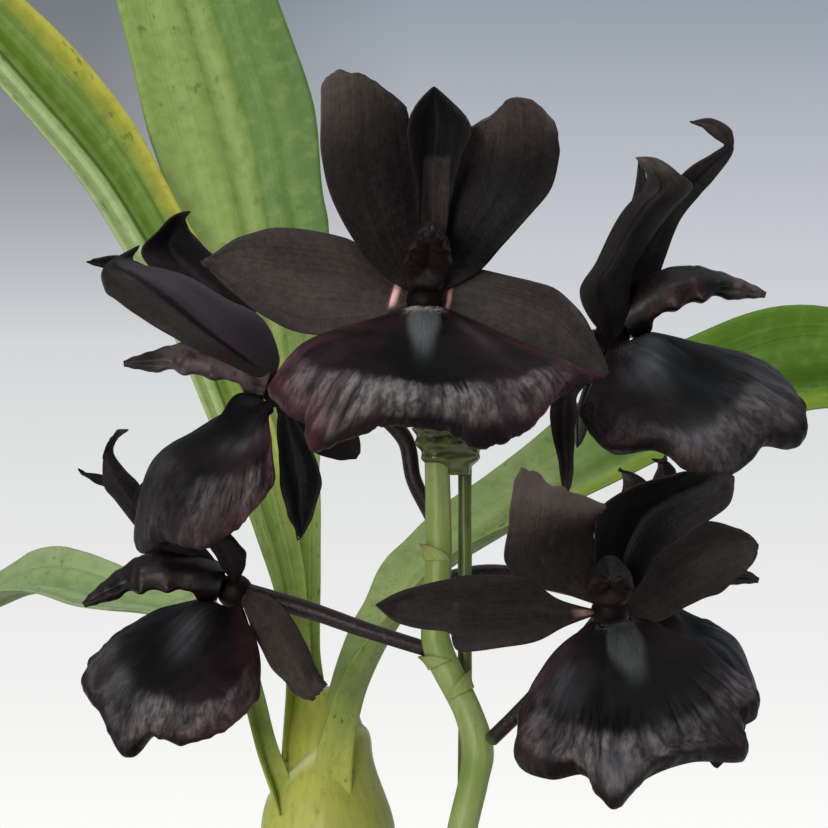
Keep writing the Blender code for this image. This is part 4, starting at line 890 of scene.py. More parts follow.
def petal_finish(sizes, colours):
    """Orchid petal: living tissue with a velvety skin of tiny domed cells, so it is near black with a faint soft sheen."""
    sheen = {"Sheen_Weight": 0.035, "Sheen_Roughness": 0.4, "Sheen_Tint": (*linear("b8aaa4"), 1)}
    made, tree, shader = new_finish("orchid petal", IOR=1.22, **sheen)
    uv, across, along = blade_places(tree)
    aside = add_node(tree, "Math", (add_node(tree, "Math", (across, 0.5), operation="SUBTRACT"),), operation="ABSOLUTE")
    margin = add_node(tree, "Math", (aside, 2.0), **TIMES)
    shade, crest, purple = (add_node(tree, "Attribute", out="Fac", attribute_name=name) for name in ("paint", "crest", "purple"))
    fine = streaks(tree, uv, 34, 2.0)
    cells, specks, clouds = grain(tree, 0.4), grain(tree, 1.3, 3), grain(tree, 9, 3)
    for pattern, low, high in ((clouds, -0.1, 0.1), (fine, -0.09, 0.09), (specks, -0.07, 0.1), (cells, -0.06, 0.08)):
        shade = add_node(tree, "Math", (shade, add_node(tree, "MapRange", (pattern, 0.32, 0.7, low, high))), **PLUS)
    shade = add_node(tree, "Math", (shade, 0.8), **TIMES)
    tones = ((0, "050505"), (0.24, "151213"), (0.52, "2a2524"), (0.8, "423a36"), (1, "554b47"))
    skin = add_node(tree, "ValToRGB", {"Fac": shade}, stops=tones)
    edge = add_node(tree, "MapRange", (margin, 0.96, 1.0, 0, 0.4))
    for pattern, low, high in ((along, 0.02, 0.1), (clouds, 0.5, 0.62)):
        edge = add_node(tree, "Math", (edge, add_node(tree, "MapRange", (pattern, low, high))), **TIMES)
    folded = add_node(tree, "Math", (purple, 0.85), **TIMES)
    flushed = add_node(tree, "MapRange", (along, 0.05, 0.16, 0.05, 0))
    for amount, tone in (
        (folded, colours.petal_purple), (edge, colours.petal_margin), (flushed, colours.column_flush), (crest, colours.crest),
    ):
        skin = add_node(tree, "Mix", {0: amount, FIRST: skin, SECOND: tone}, **MIXED)
    dull = add_node(tree, "MapRange", (cells, 0.3, 0.7, 0.46, 0.62))
    veins = add_node(tree, "Bump", {"Height": fine, "Distance": sizes.vein_relief})
    pitted = add_node(tree, "Bump", {"Height": specks, "Distance": sizes.vein_relief, "Normal": veins})
    domed = add_node(tree, "Bump", {"Height": cells, "Distance": sizes.vein_relief * 0.7, "Normal": pitted})
    plug(tree, shader, Base_Color=skin, Roughness=dull, Normal=domed)
    return made


def lip_finish(sizes, colours):
    """Fleshy lip: thick waxy tissue, velvety black in its throat and satin where it is wrinkled towards its rim; the
    wrinkles carry painted highlights, the throat painted grey sheen, and its hollow painted shade.
    """
    made, tree, shader = new_finish("waxy lip", IOR=1.19)
    uv, _, along = blade_places(tree)
    names = ("pad", "hollow", "band", "pink", "gleam", "frost")
    pad, hollow, painted_highlight, pink, gleam, frost = (add_node(tree, "Attribute", out="Fac", attribute_name=name) for name in names)
    fine, folds = streaks(tree, uv, 110, 15, 4), streaks(tree, uv, 40, 8, 4)
    clouds, hairs = grain(tree, 7, 4), grain(tree, 0.5, 3)
    # painted highlight: the wrinkled band is lightened on its ridges, broken up by the fold and fine streaks
    for pattern, low, high, least in ((folds, 0.4, 0.54, 0.4), (fine, 0.4, 0.56, 0.55)):
        painted_highlight = add_node(tree, "Math", (painted_highlight, add_node(tree, "MapRange", (pattern, low, high, least, 1))), **TIMES)
    # the tone of the painted highlight, grey on the ridges and pinker on the maroon rim
    light = add_node(tree, "Mix", {0: pink, FIRST: colours.lip_ridge_highlight, SECOND: "74535a"}, **MIXED)
    patchy = add_node(tree, "MapRange", (clouds, 0.42, 0.62))
    skin = add_node(tree, "Mix", {0: patchy, FIRST: "060708", SECOND: "151012"}, **MIXED)
    skin = add_node(tree, "Mix", {0: painted_highlight, FIRST: skin, SECOND: light}, **MIXED)
    for strength, share, tone in (
        (pink, add_node(tree, "MapRange", (clouds, 0.4, 0.62, 0.3, 0.7)), colours.lip_rim),
        (gleam, add_node(tree, "MapRange", (clouds, 0.35, 0.6, 0.65, 1)), colours.lip_gleam),
        # painted shade: the hollow in the throat is darkened to near black
        (hollow, 0.9, "030404"),
        (pad, add_node(tree, "MapRange", (fine, 0.3, 0.6, 0.55, 1)), colours.callus),
        (frost, add_node(tree, "MapRange", (hairs, 0.42, 0.58)), "b4aea8"),
    ):
        amount = add_node(tree, "Math", (strength, share), **TIMES)
        skin = add_node(tree, "Mix", {0: amount, FIRST: skin, SECOND: tone}, **MIXED)
    waxy = add_node(tree, "MapRange", (along, 0.4, 0.6, 0.62, 0.4))
    waxy = add_node(tree, "Math", (waxy, add_node(tree, "MapRange", (folds, 0.3, 0.7, -0.05, 0.07))), **PLUS)
    outer = add_node(tree, "MapRange", (along, 0.38, 0.56, 0.1, 1))
    ridged, lined = (add_node(tree, "Math", (pattern, outer), **TIMES) for pattern in (folds, fine))
    first = add_node(tree, "Bump", {"Height": ridged, "Distance": sizes.vein_relief * 5})
    second = add_node(tree, "Bump", {"Height": lined, "Distance": sizes.vein_relief * 1.8, "Normal": first})
    pitted = add_node(tree, "Bump", {"Height": hairs, "Distance": sizes.vein_relief * 0.5, "Normal": second})
    plug(tree, shader, Base_Color=skin, Roughness=waxy, Normal=pitted)
    return made


def column_finish(sizes, colours):
    """Column of an orchid: firm smooth tissue, black with crimson blotches below and a few wet glints, and a pale grey
    that is partly its own and partly painted highlight.
    """
    made, tree, shader = new_finish("column flesh", IOR=1.33)
    flush, pale, gloss = (add_node(tree, "Attribute", out="Fac", attribute_name=name) for name in ("paint", "tone", "gloss"))
    clouds = grain(tree, 2.2, 3)
    patchy = add_node(tree, "MapRange", (grain(tree, 1.1, 3), 0.45, 0.7))
    skin = add_node(tree, "Mix", {0: patchy, FIRST: "060506", SECOND: colours.column}, **MIXED)
    # pale: a grey mixed over the column, partly its own colour and partly painted highlight; flush: its crimson
    for strength, low, high, least, tone in ((pale, 0.36, 0.56, 0.25, "5c4e50"), (flush, 0.34, 0.66, 0.45, colours.column_flush)):
        amount = add_node(tree, "Math", (strength, add_node(tree, "MapRange", (clouds, low, high, least, 1))), **TIMES)
        skin = add_node(tree, "Mix", {0: amount, FIRST: skin, SECOND: tone}, **MIXED)
    uneven = add_node(tree, "MapRange", (clouds, 0.3, 0.7, -0.06, 0.08))
    dull = add_node(tree, "Math", (add_node(tree, "MapRange", (gloss, 0, 1, 0.66, 0.3)), uneven), **PLUS)
    wrinkles = add_node(tree, "Bump", {"Height": grain(tree, 1.6, 3), "Distance": sizes.vein_relief})
    pitted = add_node(tree, "Bump", {"Height": grain(tree, 0.5), "Distance": sizes.vein_relief * 0.5, "Normal": wrinkles})
    plug(tree, shader, Base_Color=skin, Roughness=dull, Normal=pitted)
    return made


def stalk_finish(sizes, colours):
    """Flower stalk: smooth living stem that turns from green by the spike to dark purple, with tiny pale flecks."""
    made, tree, shader = new_finish("flower stalk skin", IOR=1.35, Roughness=0.44)
    share = add_node(tree, "Attribute", out="Fac", attribute_name="paint")
    blotched = add_node(tree, "MapRange", (grain(tree, 3.5, 3), 0, 1, -0.1, 0.1))
    dark = add_node(tree, "MapRange", (add_node(tree, "Math", (share, blotched), **PLUS), -0.02, 0.07))
    skin = add_node(tree, "Mix", {0: dark, FIRST: colours.stalk_green, SECOND: colours.stalk_dark}, **MIXED)
    flecks = add_node(tree, "MapRange", (grain(tree, 0.5), 0.62, 0.72, 0, 0.45))
    skin = add_node(tree, "Mix", {0: flecks, FIRST: skin, SECOND: "6d5a5e"}, **MIXED)
    plug(tree, shader, Base_Color=skin, Normal=add_node(tree, "Bump", {"Height": grain(tree, 1.2), "Distance": sizes.vein_relief * 1.5}))
    return made


def leaf_finish(name, leaf, sizes):
    """Pleated leaf: thin satin tissue with parallel veins, a paler stalk, broad soft strips and short dark marks across."""
    glow = {"Subsurface_Weight": 0.08, "Subsurface_Scale": 1.5 * MM, "Subsurface_Radius": (0.4, 1.0, 0.2)}
    made, tree, shader = new_finish(name + " tissue", IOR=1.35, **glow)
    uv, across, along = blade_places(tree)
    under = add_node(tree, "Attribute", out="Fac", attribute_name="under")
    fine, broad = streaks(tree, uv, 70, 1.6), streaks(tree, uv, 10, 0.8)
    clouds, blots = grain(tree, 14, 4), grain(tree, 3.2, 4)
    drifted = add_node(tree, "Math", (across, add_node(tree, "MapRange", (clouds, 0, 1, -0.03, 0.03))), **PLUS)
    # the tones across the leaf: partly its own colour, partly painted reflection and painted shade on the two halves of
    # the fold
    skin = add_node(tree, "ValToRGB", {"Fac": drifted}, stops=leaf.bands)
    stalk = add_node(tree, "MapRange", (along, 0.52, 0.3, 0, 0.85))
    turned = add_node(tree, "MapRange", (along, *leaf.turned, 0, 0.75))
    turned = add_node(tree, "Math", (turned, add_node(tree, "MapRange", (across, 0.8, 0.7))), **TIMES)
    foot = add_node(tree, "MapRange", (along, 0.17, 0.06))
    for amount, tone in ((under, leaf.under), (stalk, "9bb05c"), (turned, "86965f"), (foot, "a9b250")):
        skin = add_node(tree, "Mix", {0: amount, FIRST: skin, SECOND: tone}, **MIXED)
    dark = add_node(tree, "Mix", {0: 0.42, FIRST: skin, SECOND: "3c5418"}, **MIXED)
    pale = add_node(tree, "Mix", {0: 0.26, FIRST: skin, SECOND: "bcc478"}, **MIXED)
    for pattern, low, high, most, tone in (
        (fine, 0.5, 0.75, 0.26, dark), (broad, 0.5, 0.7, 0.3, pale), (blots, 0.5, 0.66, 0.5, dark), (blots, 0.46, 0.34, 0.3, pale),
    ):
        skin = add_node(tree, "Mix", {0: add_node(tree, "MapRange", (pattern, low, high, 0, most)), FIRST: skin, SECOND: tone}, **MIXED)
    wide = add_node(tree, "Mapping", {"Vector": uv, "Scale": (15, 90, 1)})
    dashes = add_node(tree, "MapRange", (add_node(tree, "TexNoise", {"Vector": wide, "Scale": 1.0, "Detail": 2.0}), 0.6, 0.68, 0, 0.7))
    flecks = add_node(tree, "Math", (dashes, add_node(tree, "MapRange", (clouds, 0.42, 0.6))), **TIMES)
    skin = add_node(tree, "Mix", {0: flecks, FIRST: skin, SECOND: "47602a"}, **MIXED)
    dull = add_node(tree, "MapRange", (fine, 0.3, 0.7, 0.5, 0.62))
    ribs = add_node(tree, "Bump", {"Height": broad, "Distance": sizes.vein_relief * 3})
    veins = add_node(tree, "Bump", {"Height": fine, "Distance": sizes.vein_relief * 1.2, "Normal": ribs})
    dented = add_node(tree, "Bump", {"Height": blots, "Distance": sizes.vein_relief * 1.6, "Normal": veins})
    plug(tree, shader, Base_Color=skin, Roughness=dull, Normal=dented)
    return made


def spike_finish(sizes, colours):
    """Flower spike: smooth green stem with faint lengthwise lines and a pale bloom."""
    made, tree, shader = new_finish("spike skin", IOR=1.42, Roughness=0.42, Subsurface_Weight=0.1, Subsurface_Scale=1.5 * MM)
    lines, skin = grain(tree, 0.9, scale=(1, 1, 0.06)), colours.spike
    for pattern, low, high, most, tone in (
        (grain(tree, 14, 3), 0.35, 0.65, 1, "93a263"), (lines, 0.5, 0.75, 0.45, "66793d"), (grain(tree, 0.7), 0.66, 0.76, 0.4, "5b4f35"),
    ):
        skin = add_node(tree, "Mix", {0: add_node(tree, "MapRange", (pattern, low, high, 0, most)), FIRST: skin, SECOND: tone}, **MIXED)
    plug(tree, shader, Base_Color=skin, Normal=add_node(tree, "Bump", {"Height": lines, "Distance": sizes.vein_relief * 1.5}))
    return made


def bract_finish(sizes):
    """Bract: thin papery tissue, grey green with fine veins and a brown tip."""
    made, tree, shader = new_finish("papery bract", IOR=1.4, Roughness=0.6)
    uv, _, along = blade_places(tree)
    lines, skin = streaks(tree, uv, 26, 1.2), "8b9a58"
    for pattern, low, high, most, tone in ((lines, 0.4, 0.7, 1, "78854a"), (along, 0.7, 1.0, 0.8, "7a6040")):
        skin = add_node(tree, "Mix", {0: add_node(tree, "MapRange", (pattern, low, high, 0, most)), FIRST: skin, SECOND: tone}, **MIXED)
    plug(tree, shader, Base_Color=skin, Normal=add_node(tree, "Bump", {"Height": lines, "Distance": sizes.vein_relief}))
    return made


def growth_finish(sizes, colours):
    """Leafy growth: satin sheaths of a yellow green, finely lined from foot to top, with pale thin margins and painted
    shade down one side.
    """
    made, tree, shader = new_finish("sheath skin", IOR=1.42, Subsurface_Weight=0.1, Subsurface_Scale=2 * MM)
    margin, shaded = (add_node(tree, "Attribute", out="Fac", attribute_name=name) for name in ("paint", "tone"))
    lines = grain(tree, 1.3, 3.0, (1, 1, 0.05))
    # painted shade: a darker olive mixed in on the side of the growth that the lamps miss
    skin = add_node(tree, "Mix", {0: shaded, FIRST: colours.growth, SECOND: "7c8244"}, **MIXED)
    for pattern, low, high, most, tone in (
        (lines, 0.48, 0.72, 0.4, "6f7b36"), (grain(tree, 18, 3), 0.5, 0.75, 0.5, "c0c67e"), (grain(tree, 1.4), 0.64, 0.74, 0.4, "6a5b35"),
    ):
        skin = add_node(tree, "Mix", {0: add_node(tree, "MapRange", (pattern, low, high, 0, most)), FIRST: skin, SECOND: tone}, **MIXED)
    skin = add_node(tree, "Mix", {0: margin, FIRST: skin, SECOND: colours.sheath_margin}, **MIXED)
    dull = add_node(tree, "MapRange", (lines, 0.3, 0.7, 0.4, 0.55))
    lined = add_node(tree, "Bump", {"Height": lines, "Distance": sizes.vein_relief * 2})
    plug(tree, shader, Base_Color=skin, Roughness=dull, Normal=lined)
    return made


def old_growth_finish(sizes, colours):
    """Leafless growth: shrunken tissue under dry papery fibres, dull with brown streaks."""
    made, tree, shader = new_finish("old growth skin", IOR=1.42, Roughness=0.6)
    scar = add_node(tree, "Attribute", out="Fac", attribute_name="paint")
    lines, skin = grain(tree, 1.1, 4.0, (1, 1, 0.08)), colours.old_growth
    for pattern, low, high, most, tone in ((lines, 0.42, 0.68, 1, "a59a6c"), (grain(tree, 10, 4), 0.5, 0.7, 0.7, "6d5a3a")):
        skin = add_node(tree, "Mix", {0: add_node(tree, "MapRange", (pattern, low, high, 0, most)), FIRST: skin, SECOND: tone}, **MIXED)
    skin = add_node(tree, "Mix", {0: scar, FIRST: skin, SECOND: "5a452e"}, **MIXED)
    plug(tree, shader, Base_Color=skin, Normal=add_node(tree, "Bump", {"Height": lines, "Distance": sizes.vein_relief * 4}))
    return made


def stake_finish(sizes):
    """Plastic-coated stake: moulded green plastic, satin, with drawn lines along it."""
    made, tree, shader = new_finish("moulded green plastic", IOR=1.46, Roughness=0.36)
    lines, skin = grain(tree, 0.5, scale=(1, 1, 0.03)), "3c4a18"
    for pattern, low, high, most, tone in ((lines, 0.35, 0.68, 1, "5b6926"), (grain(tree, 5, 3), 0.52, 0.7, 0.4, "2c3820")):
        skin = add_node(tree, "Mix", {0: add_node(tree, "MapRange", (pattern, low, high, 0, most)), FIRST: skin, SECOND: tone}, **MIXED)
    plug(tree, shader, Base_Color=skin, Normal=add_node(tree, "Bump", {"Height": lines, "Distance": sizes.vein_relief}))
    return made


def clip_finish(sizes):
    """Clear green plastic: moulded and glossy, so it holds small white glints and shows the stem through it."""
    gloss = {"Roughness": 0.2, "Transmission_Weight": 0.5, "Coat_Weight": 0.2, "Coat_Roughness": 0.1}
    made, tree, shader = new_finish("clear green plastic", IOR=1.45, **gloss)
    clouds = grain(tree, 2.5, 2)
    skin = add_node(tree, "Mix", {0: add_node(tree, "MapRange", (clouds, 0.35, 0.65)), FIRST: "464b24", SECOND: "7c8742"}, **MIXED)
    plug(tree, shader, Base_Color=skin, Normal=add_node(tree, "Bump", {"Height": clouds, "Distance": sizes.vein_relief * 2}))
    return made


def clay_finish(sizes, colours):
    """Unglazed terracotta: thrown and fired, dry and matt, with turning lines, fine grit and a pale bloom of salts."""
    made, tree, shader = new_finish("unglazed terracotta", IOR=1.5, Specular_IOR_Level=0.25)
    height = add_node(tree, "SeparateXYZ", (add_node(tree, "TexCoord", out="Object"),), "Z")
    rings = grain(tree, 1.4, 3.0, (0.08, 0.08, 1))
    grit, stains = grain(tree, 0.7, 3), grain(tree, 24, 5)
    # the damp foot is darker up to an uneven line
    damp = add_node(tree, "Math", (height, add_node(tree, "MapRange", (stains, 0, 1, -35 * MM, 35 * MM))), **PLUS)
    damp = add_node(tree, "MapRange", (damp, 0.0, 50 * MM, 0.45, 0))
    skin = colours.clay
    for amount, tone in (
        (add_node(tree, "MapRange", (rings, 0.35, 0.7)), "bd7a58"), (add_node(tree, "MapRange", (grit, 0.55, 0.75, 0, 0.5)), "8c5138"),
        (damp, "7d4a35"), (add_node(tree, "MapRange", (stains, 0.52, 0.72, 0, 0.45)), "d9c3b0"),
    ):
        skin = add_node(tree, "Mix", {0: amount, FIRST: skin, SECOND: tone}, **MIXED)
    dull = add_node(tree, "MapRange", (grit, 0.3, 0.7, 0.78, 0.95))
    lined = add_node(tree, "Bump", {"Height": rings, "Distance": sizes.vein_relief * 3})
    gritty = add_node(tree, "Bump", {"Height": grit, "Distance": sizes.vein_relief * 1.5, "Normal": lined})
    plug(tree, shader, Base_Color=skin, Roughness=dull, Normal=gritty)
    return made


def bark_finish(sizes, colours):
    """Orchid bark: cut pine bark in flaky layers, dull, from grey brown to red brown chip by chip."""
    made, tree, shader = new_finish("pine bark", IOR=1.45, Specular_IOR_Level=0.3)
    each = add_node(tree, "Attribute", out="Fac", attribute_name="tone")
    flakes, fibres = grain(tree, 3.5, 5), grain(tree, 0.8, 3)
    skin = add_node(tree, "ValToRGB", {"Fac": each}, stops=((0, "3a261b"), (0.35, colours.bark), (0.7, "7a5238"), (1, "8f7660")))
    for pattern, low, high, most, tone in ((flakes, 0.4, 0.65, 0.6, "2b1c14"), (fibres, 0.55, 0.75, 0.5, "a0805f")):
        skin = add_node(tree, "Mix", {0: add_node(tree, "MapRange", (pattern, low, high, 0, most)), FIRST: skin, SECOND: tone}, **MIXED)
    dull = add_node(tree, "MapRange", (flakes, 0.3, 0.7, 0.75, 0.95))
    rough = add_node(tree, "Bump", {"Height": flakes, "Distance": 0.9 * MM})
    fibrous = add_node(tree, "Bump", {"Height": fibres, "Distance": 0.25 * MM, "Normal": rough})
    plug(tree, shader, Base_Color=skin, Roughness=dull, Normal=fibrous)
    return made


# ---------------------------------------------------------------- flowers


def tepal_surface(start, end, tepal, seed):
    """The middle surface of a sepal or petal that runs from start to end, with a groove, a wavy margin and an uneven tip."""
    span = end - start
    length = span.length
    along = span.normalized()
    side = along.cross(Vector(tepal.face)).normalized()
    face = side.cross(along)
    bow = face * tepal.bow
    base_share, base_power, tip_power = OUTLINES[tepal.outline]
    peak = base_power / (base_power + tip_power)
    highest = peak ** base_power * (1 - peak) ** tip_power
    curl = math.radians(tepal.curl)
    cup = math.radians(tepal.cup)
    ragged = 1.3 if tepal.outline == PETAL else 0.35

    def place(u, v):
        # the rows crowd towards the tip, where the outline turns fastest
        u = 1 - (1 - u) ** 1.35
        shared = min(u, CURL_START)
        point = start + span * shared + bow * 4 * shared * (1 - shared)
        tangent = (span + bow * 4 * (1 - 2 * shared)).normalized()
        normal = side.cross(tangent)
        if u > CURL_START:
            run = (u - CURL_START) * length
            bend = curl * (u - CURL_START) / (1 - CURL_START)
            if abs(curl) > 0.01:
                radius = run / bend
                point = point + tangent * radius * math.sin(bend) + normal * radius * (1 - math.cos(bend))
            else:
                point = point + tangent * run
            sine, cosine = math.sin(bend), math.cos(bend)
            normal, tangent = normal * cosine - tangent * sine, tangent * cosine + normal * sine
        relative = base_share * (1 - u) ** 2 + u ** base_power * (1 - u) ** tip_power / highest
        width = tepal.width / 2 * relative
        width *= 1 + 0.05 * ripple(u * 6, seed, v) * ease(0.15, 0.5, u)
        radius = width / cup
        point = point + side * radius * math.sin(v * cup) + normal * radius * (1 - math.cos(v * cup))
        # the tip is bitten unevenly, the middle has a groove and the margins wave
        point += tangent * ragged * ripple(v * relative * 3.2, seed + 5) * ease(0.6, 0.95, u)
        groove = -0.35 * hump(v / 0.07) * ease(0.04, 0.3, u) * (1 - u)
        wave = 0.5 * ripple(u * 5, seed + 9, v * 0.8) * v * v * ease(0.2, 0.6, u)
        faint = 0.03 * math.sin(v * 22 + 2 * ripple(u * 3, seed)) * (1 - v * v)
        return point + normal * (groove + wave + faint)

    return place


def ridges(u, v, count, seed):
    """The run of the wrinkles of a lip, near 1 on their crests."""
    f, turn = min(u / ROLL_START, 1), v * count
    return (1 - 3 * abs(ripple(turn, f * 2, seed))) * 0.75 + (1 - 3 * abs(ripple(turn * 2.3, f * 3, seed + 7))) * 0.35


def wrinkled(u, v, crinkle, count, seed):
    """Height of the wrinkles that run out to the rim of a lip."""
    f = min(u / ROLL_START, 1)
    swell = 1.6 * ripple(v * count * 0.4, f * 3, seed + 11) * ease(0.25, 0.6, f)
    return crinkle * (ridges(u, v, count, seed) * ease(0.46, 0.62, f) + swell)


def lip_paints(look, middle, seed):
    """What the lip's finish reads at each place: pad, hollow painted black as shade, wrinkled band with painted
    highlights, maroon rim, soft gleams of painted sheen and white fringe.
    """

    def front(u):
        return min(u / ROLL_START, 1)

    def pad(u, v, half=look.pad[0], end=look.pad[1], strength=look.pad[2]):
        aside = abs(v - middle) * 9 * (0.4 + front(u))
        edge = half * (1 - 0.75 * ease(0.1, end, front(u)))
        return strength * ease(0.8, -0.9, aside * 1.7 - edge) * ease(end + 0.04, end - 0.1, front(u))

    # painted shade: 1 in the hollow beyond the pad, which the finish darkens to near black
    def hollow(u, v):
        u0, v0 = look.hollow
        return hump((front(u) - u0) / 0.15, (v - v0) / 0.42)

    # painted highlight: the band of wrinkles, lighter on their crests and as strong across the lip as shine says
    def band(u, v):
        low, late, high, dip = look.band
        low += late * v * v
        high -= dip * hump((v - 0.08) / 0.42, power=4)
        f = front(u) + 0.04 * ripple(v * 7, 3.1) + 0.02 * ripple(v * 21, 5.2)
        crests = 0.4 + 0.6 * ease(0.0, 0.7, ridges(u, v, look.folds, seed))
        ends = ease(low - 0.02, low + 0.06, f) * ease(high + 0.04, high - 0.08, f) * ease(1, 0.88, u)
        return interpolate(look.shine, v)[0] * crests * ends

    def pink(u, v):
        reach = max(ease(0.7, 0.97, front(u)), ease(0.75, 1, abs(v)), 0.26 * ease(0.2, 0.55, abs(v)))
        return interpolate(look.pink, v)[0] * reach * ease(1, 0.94, u)

    def gleam(u, v):
        f = front(u) + 0.02 * ripple(v * 9, u * 9, seed)
        crests = 0.55 + 0.45 * ease(0.0, 0.8, ridges(u, v, look.folds, seed))
        glow = sum(most * hump((f - f0) / tall, (v - v0) / wide) for f0, v0, tall, wide, most in look.gleams)
        return min(glow, 1) * crests

    def frost(u, v):
        return look.frost * hump((front(u) - 0.05) / 0.05) * ease(1, 0.6, abs(v))

    return {"pad": pad, "hollow": hollow, "band": band, "pink": pink, "gleam": gleam, "frost": frost}


def lip_surface(centre, lip, look, crinkle, seed):
    """The middle surface of the lip: a shell that fans out from under the column, droops at the sides and rolls at its rim."""
    along = Vector(lip.along).normalized()
    side = along.cross(Vector(lip.face)).normalized()
    up = side.cross(along)
    spread, droop, bend = (math.radians(angle) for angle in (lip.spread, lip.droop, lip.bend))

    def place(u, v):
        turn = v * spread
        reach = lip.length * (interpolate(LIP_OUTLINE, abs(v))[0] + lip.point * hump(v / 0.12))
        reach *= 1 + 0.035 * ripple(v * 5, seed) + 0.018 * ripple(v * 16, seed + 3)
        run = LIP_ROOT + (reach - LIP_ROOT) * u
        ahead, aside = run * math.cos(turn), run * math.sin(turn)
        arch, sag = lip.length / bend, lip.length / droop
        height = arch * (math.cos(ahead / arch) - 1) + sag * (math.cos(aside / sag) - 1)
        height -= lip.hollow * hump((run / lip.length - 0.42) / 0.2, aside / 6.5)
        height += CALLUS * hump((run / lip.length - 0.2) / 0.12, aside / 3)
        height -= lip.roll * max(u - DROOP_START, 0) ** 2 / (1 - DROOP_START) ** 2
        height += RIM_WAVE * math.sin(turn * 9 + lip.length) * u ** 4 + wrinkled(u, v, crinkle, look.folds, seed)
        return centre + along * arch * math.sin(ahead / arch) + side * sag * math.sin(aside / sag) + up * height

    return place


def net_point(net):
    """A smooth surface through the points of a net, as a function of u from base to tip and v from -1 to 1."""
    columns = {}

    def point(u, v):
        u, v = min(max(u, 0), 1), min(max(v, -1), 1)
        if v not in columns:
            columns[v] = [row[0] if len(row) == 1 else smooth_route(row, (v + 1) / 2) for row in net]
        return Vector(smooth_route(columns[v], u))

    return point


def net_frame(point, u, v):
    """The place on a net surface, its directions towards the tip, across and out of its face, and half its width."""
    along = point(u + NET_STEP, v) - point(u - NET_STEP, v)
    aside = point(u, v + NET_STEP) - point(u, v - NET_STEP)
    face, width = aside.cross(along).normalized(), aside.length / (2 * NET_STEP)
    return point(u, v), along.normalized(), aside.normalized(), face, width


def crest_spot(u, v, at):
    """1 on the low crest of a blade at this share of its length, 0 elsewhere."""
    return hump((u - at) / 0.016, v / 0.55, power=4)


def net_tepal(net, crest, seed):
    """A sepal or petal through its net, with a groove, a wavy margin, an uneven tip and the swelling of its crest."""
    point = net_point(net)
    ragged = 0.7 if len(net[-1]) > 1 else 0.2

    def place(u, v):
        u = 1 - (1 - u) ** 1.2
        here, along, aside, normal, width = net_frame(point, u, v)
        here += along * ragged * (ripple(v * 3.2, seed + 5) + 0.5 * ripple(v * 9, seed)) * ease(0.8, 1, u)
        here += aside * v * 0.4 * ripple(u * 9, seed, v) * ease(0.7, 1, abs(v)) * ease(0.1, 0.3, u)
        groove = -0.024 * width * hump(v / 0.08) * ease(0.04, 0.3, u) * (1 - u)
        wave = 0.6 * ripple(u * 5, seed + 9, v * 0.8) * v * v * ease(0.2, 0.5, u)
        faint = 0.002 * width * math.sin(v * 22 + 2 * ripple(u * 3, seed)) * (1 - v * v)
        swell = 0.5 * ripple(u * 3.1, v * 1.7, seed + 2) * ease(0.2, 0.4, u)
        raised = 0.7 * crest_spot(u, v, crest) if crest else 0
        return here + normal * ((groove + wave + faint + swell) * min(width / 3, 1) - raised)

    return place


def net_lip(centre, spokes, look, middle, crinkle, seed):
    """A lip through its spokes, with a pad in its throat, a hollow beyond it, a wrinkled band and a rim that turns back."""
    foot = [tuple(centre + (Vector(spoke[0]) - centre).normalized() * LIP_ROOT) for spoke in spokes]
    rims, back = [], []
    for i, spoke in enumerate(spokes):
        rim, inner = Vector(spoke[-1]), Vector(spoke[-2])
        aside = Vector(spokes[min(i + 1, len(spokes) - 1)][-2]) - Vector(spokes[max(i - 1, 0)][-2])
        behind = aside.cross(rim - inner).normalized()
        if behind.y < 0:
            behind = -behind
        rims.append(tuple(rim + (inner - rim).normalized() * look.drop))
        back.append(tuple(rim + behind * ROLL_DEPTH * (0.15 if i in (0, len(spokes) - 1) else 1)))
    net = [foot, *list(zip(*spokes))[:-1], rims, back]
    last = (len(net) - 2) / (len(net) - 1)
    point = net_point(net)
    facing = -1 if net_frame(point, 0.5, 0)[3].y > 0 else 1

    def warped(u):
        return u * last / ROLL_START if u < ROLL_START else last + (u - ROLL_START) / (1 - ROLL_START) * (1 - last)

    def place(u, v):
        here, along, aside, normal, width = net_frame(point, warped(u), v)
        normal = normal * facing
        f = min(u / ROLL_START, 1)
        held = ease(1, 0.93, u) * ease(1, 0.94, abs(v)) * min(width / 12, 1)
        far = abs(v - middle) * width
        height = CALLUS * 0.75 * hump((f - 0.2) / 0.12, far / 2.2)
        height -= 1.3 * hump((f - look.hollow[0]) / 0.13, (v - look.hollow[1]) * width / 6)
        height += wrinkled(u, v, crinkle, look.folds, seed) * held
        ragged = 0.7 * ripple(v * 5, seed) + 0.4 * ripple(v * 14, seed + 3) + 0.2 * ripple(v * 37, seed)
        here += along * ragged * ease(0.75, 1, f) * ease(1, 0.93, u)
        return here + normal * height

    return place


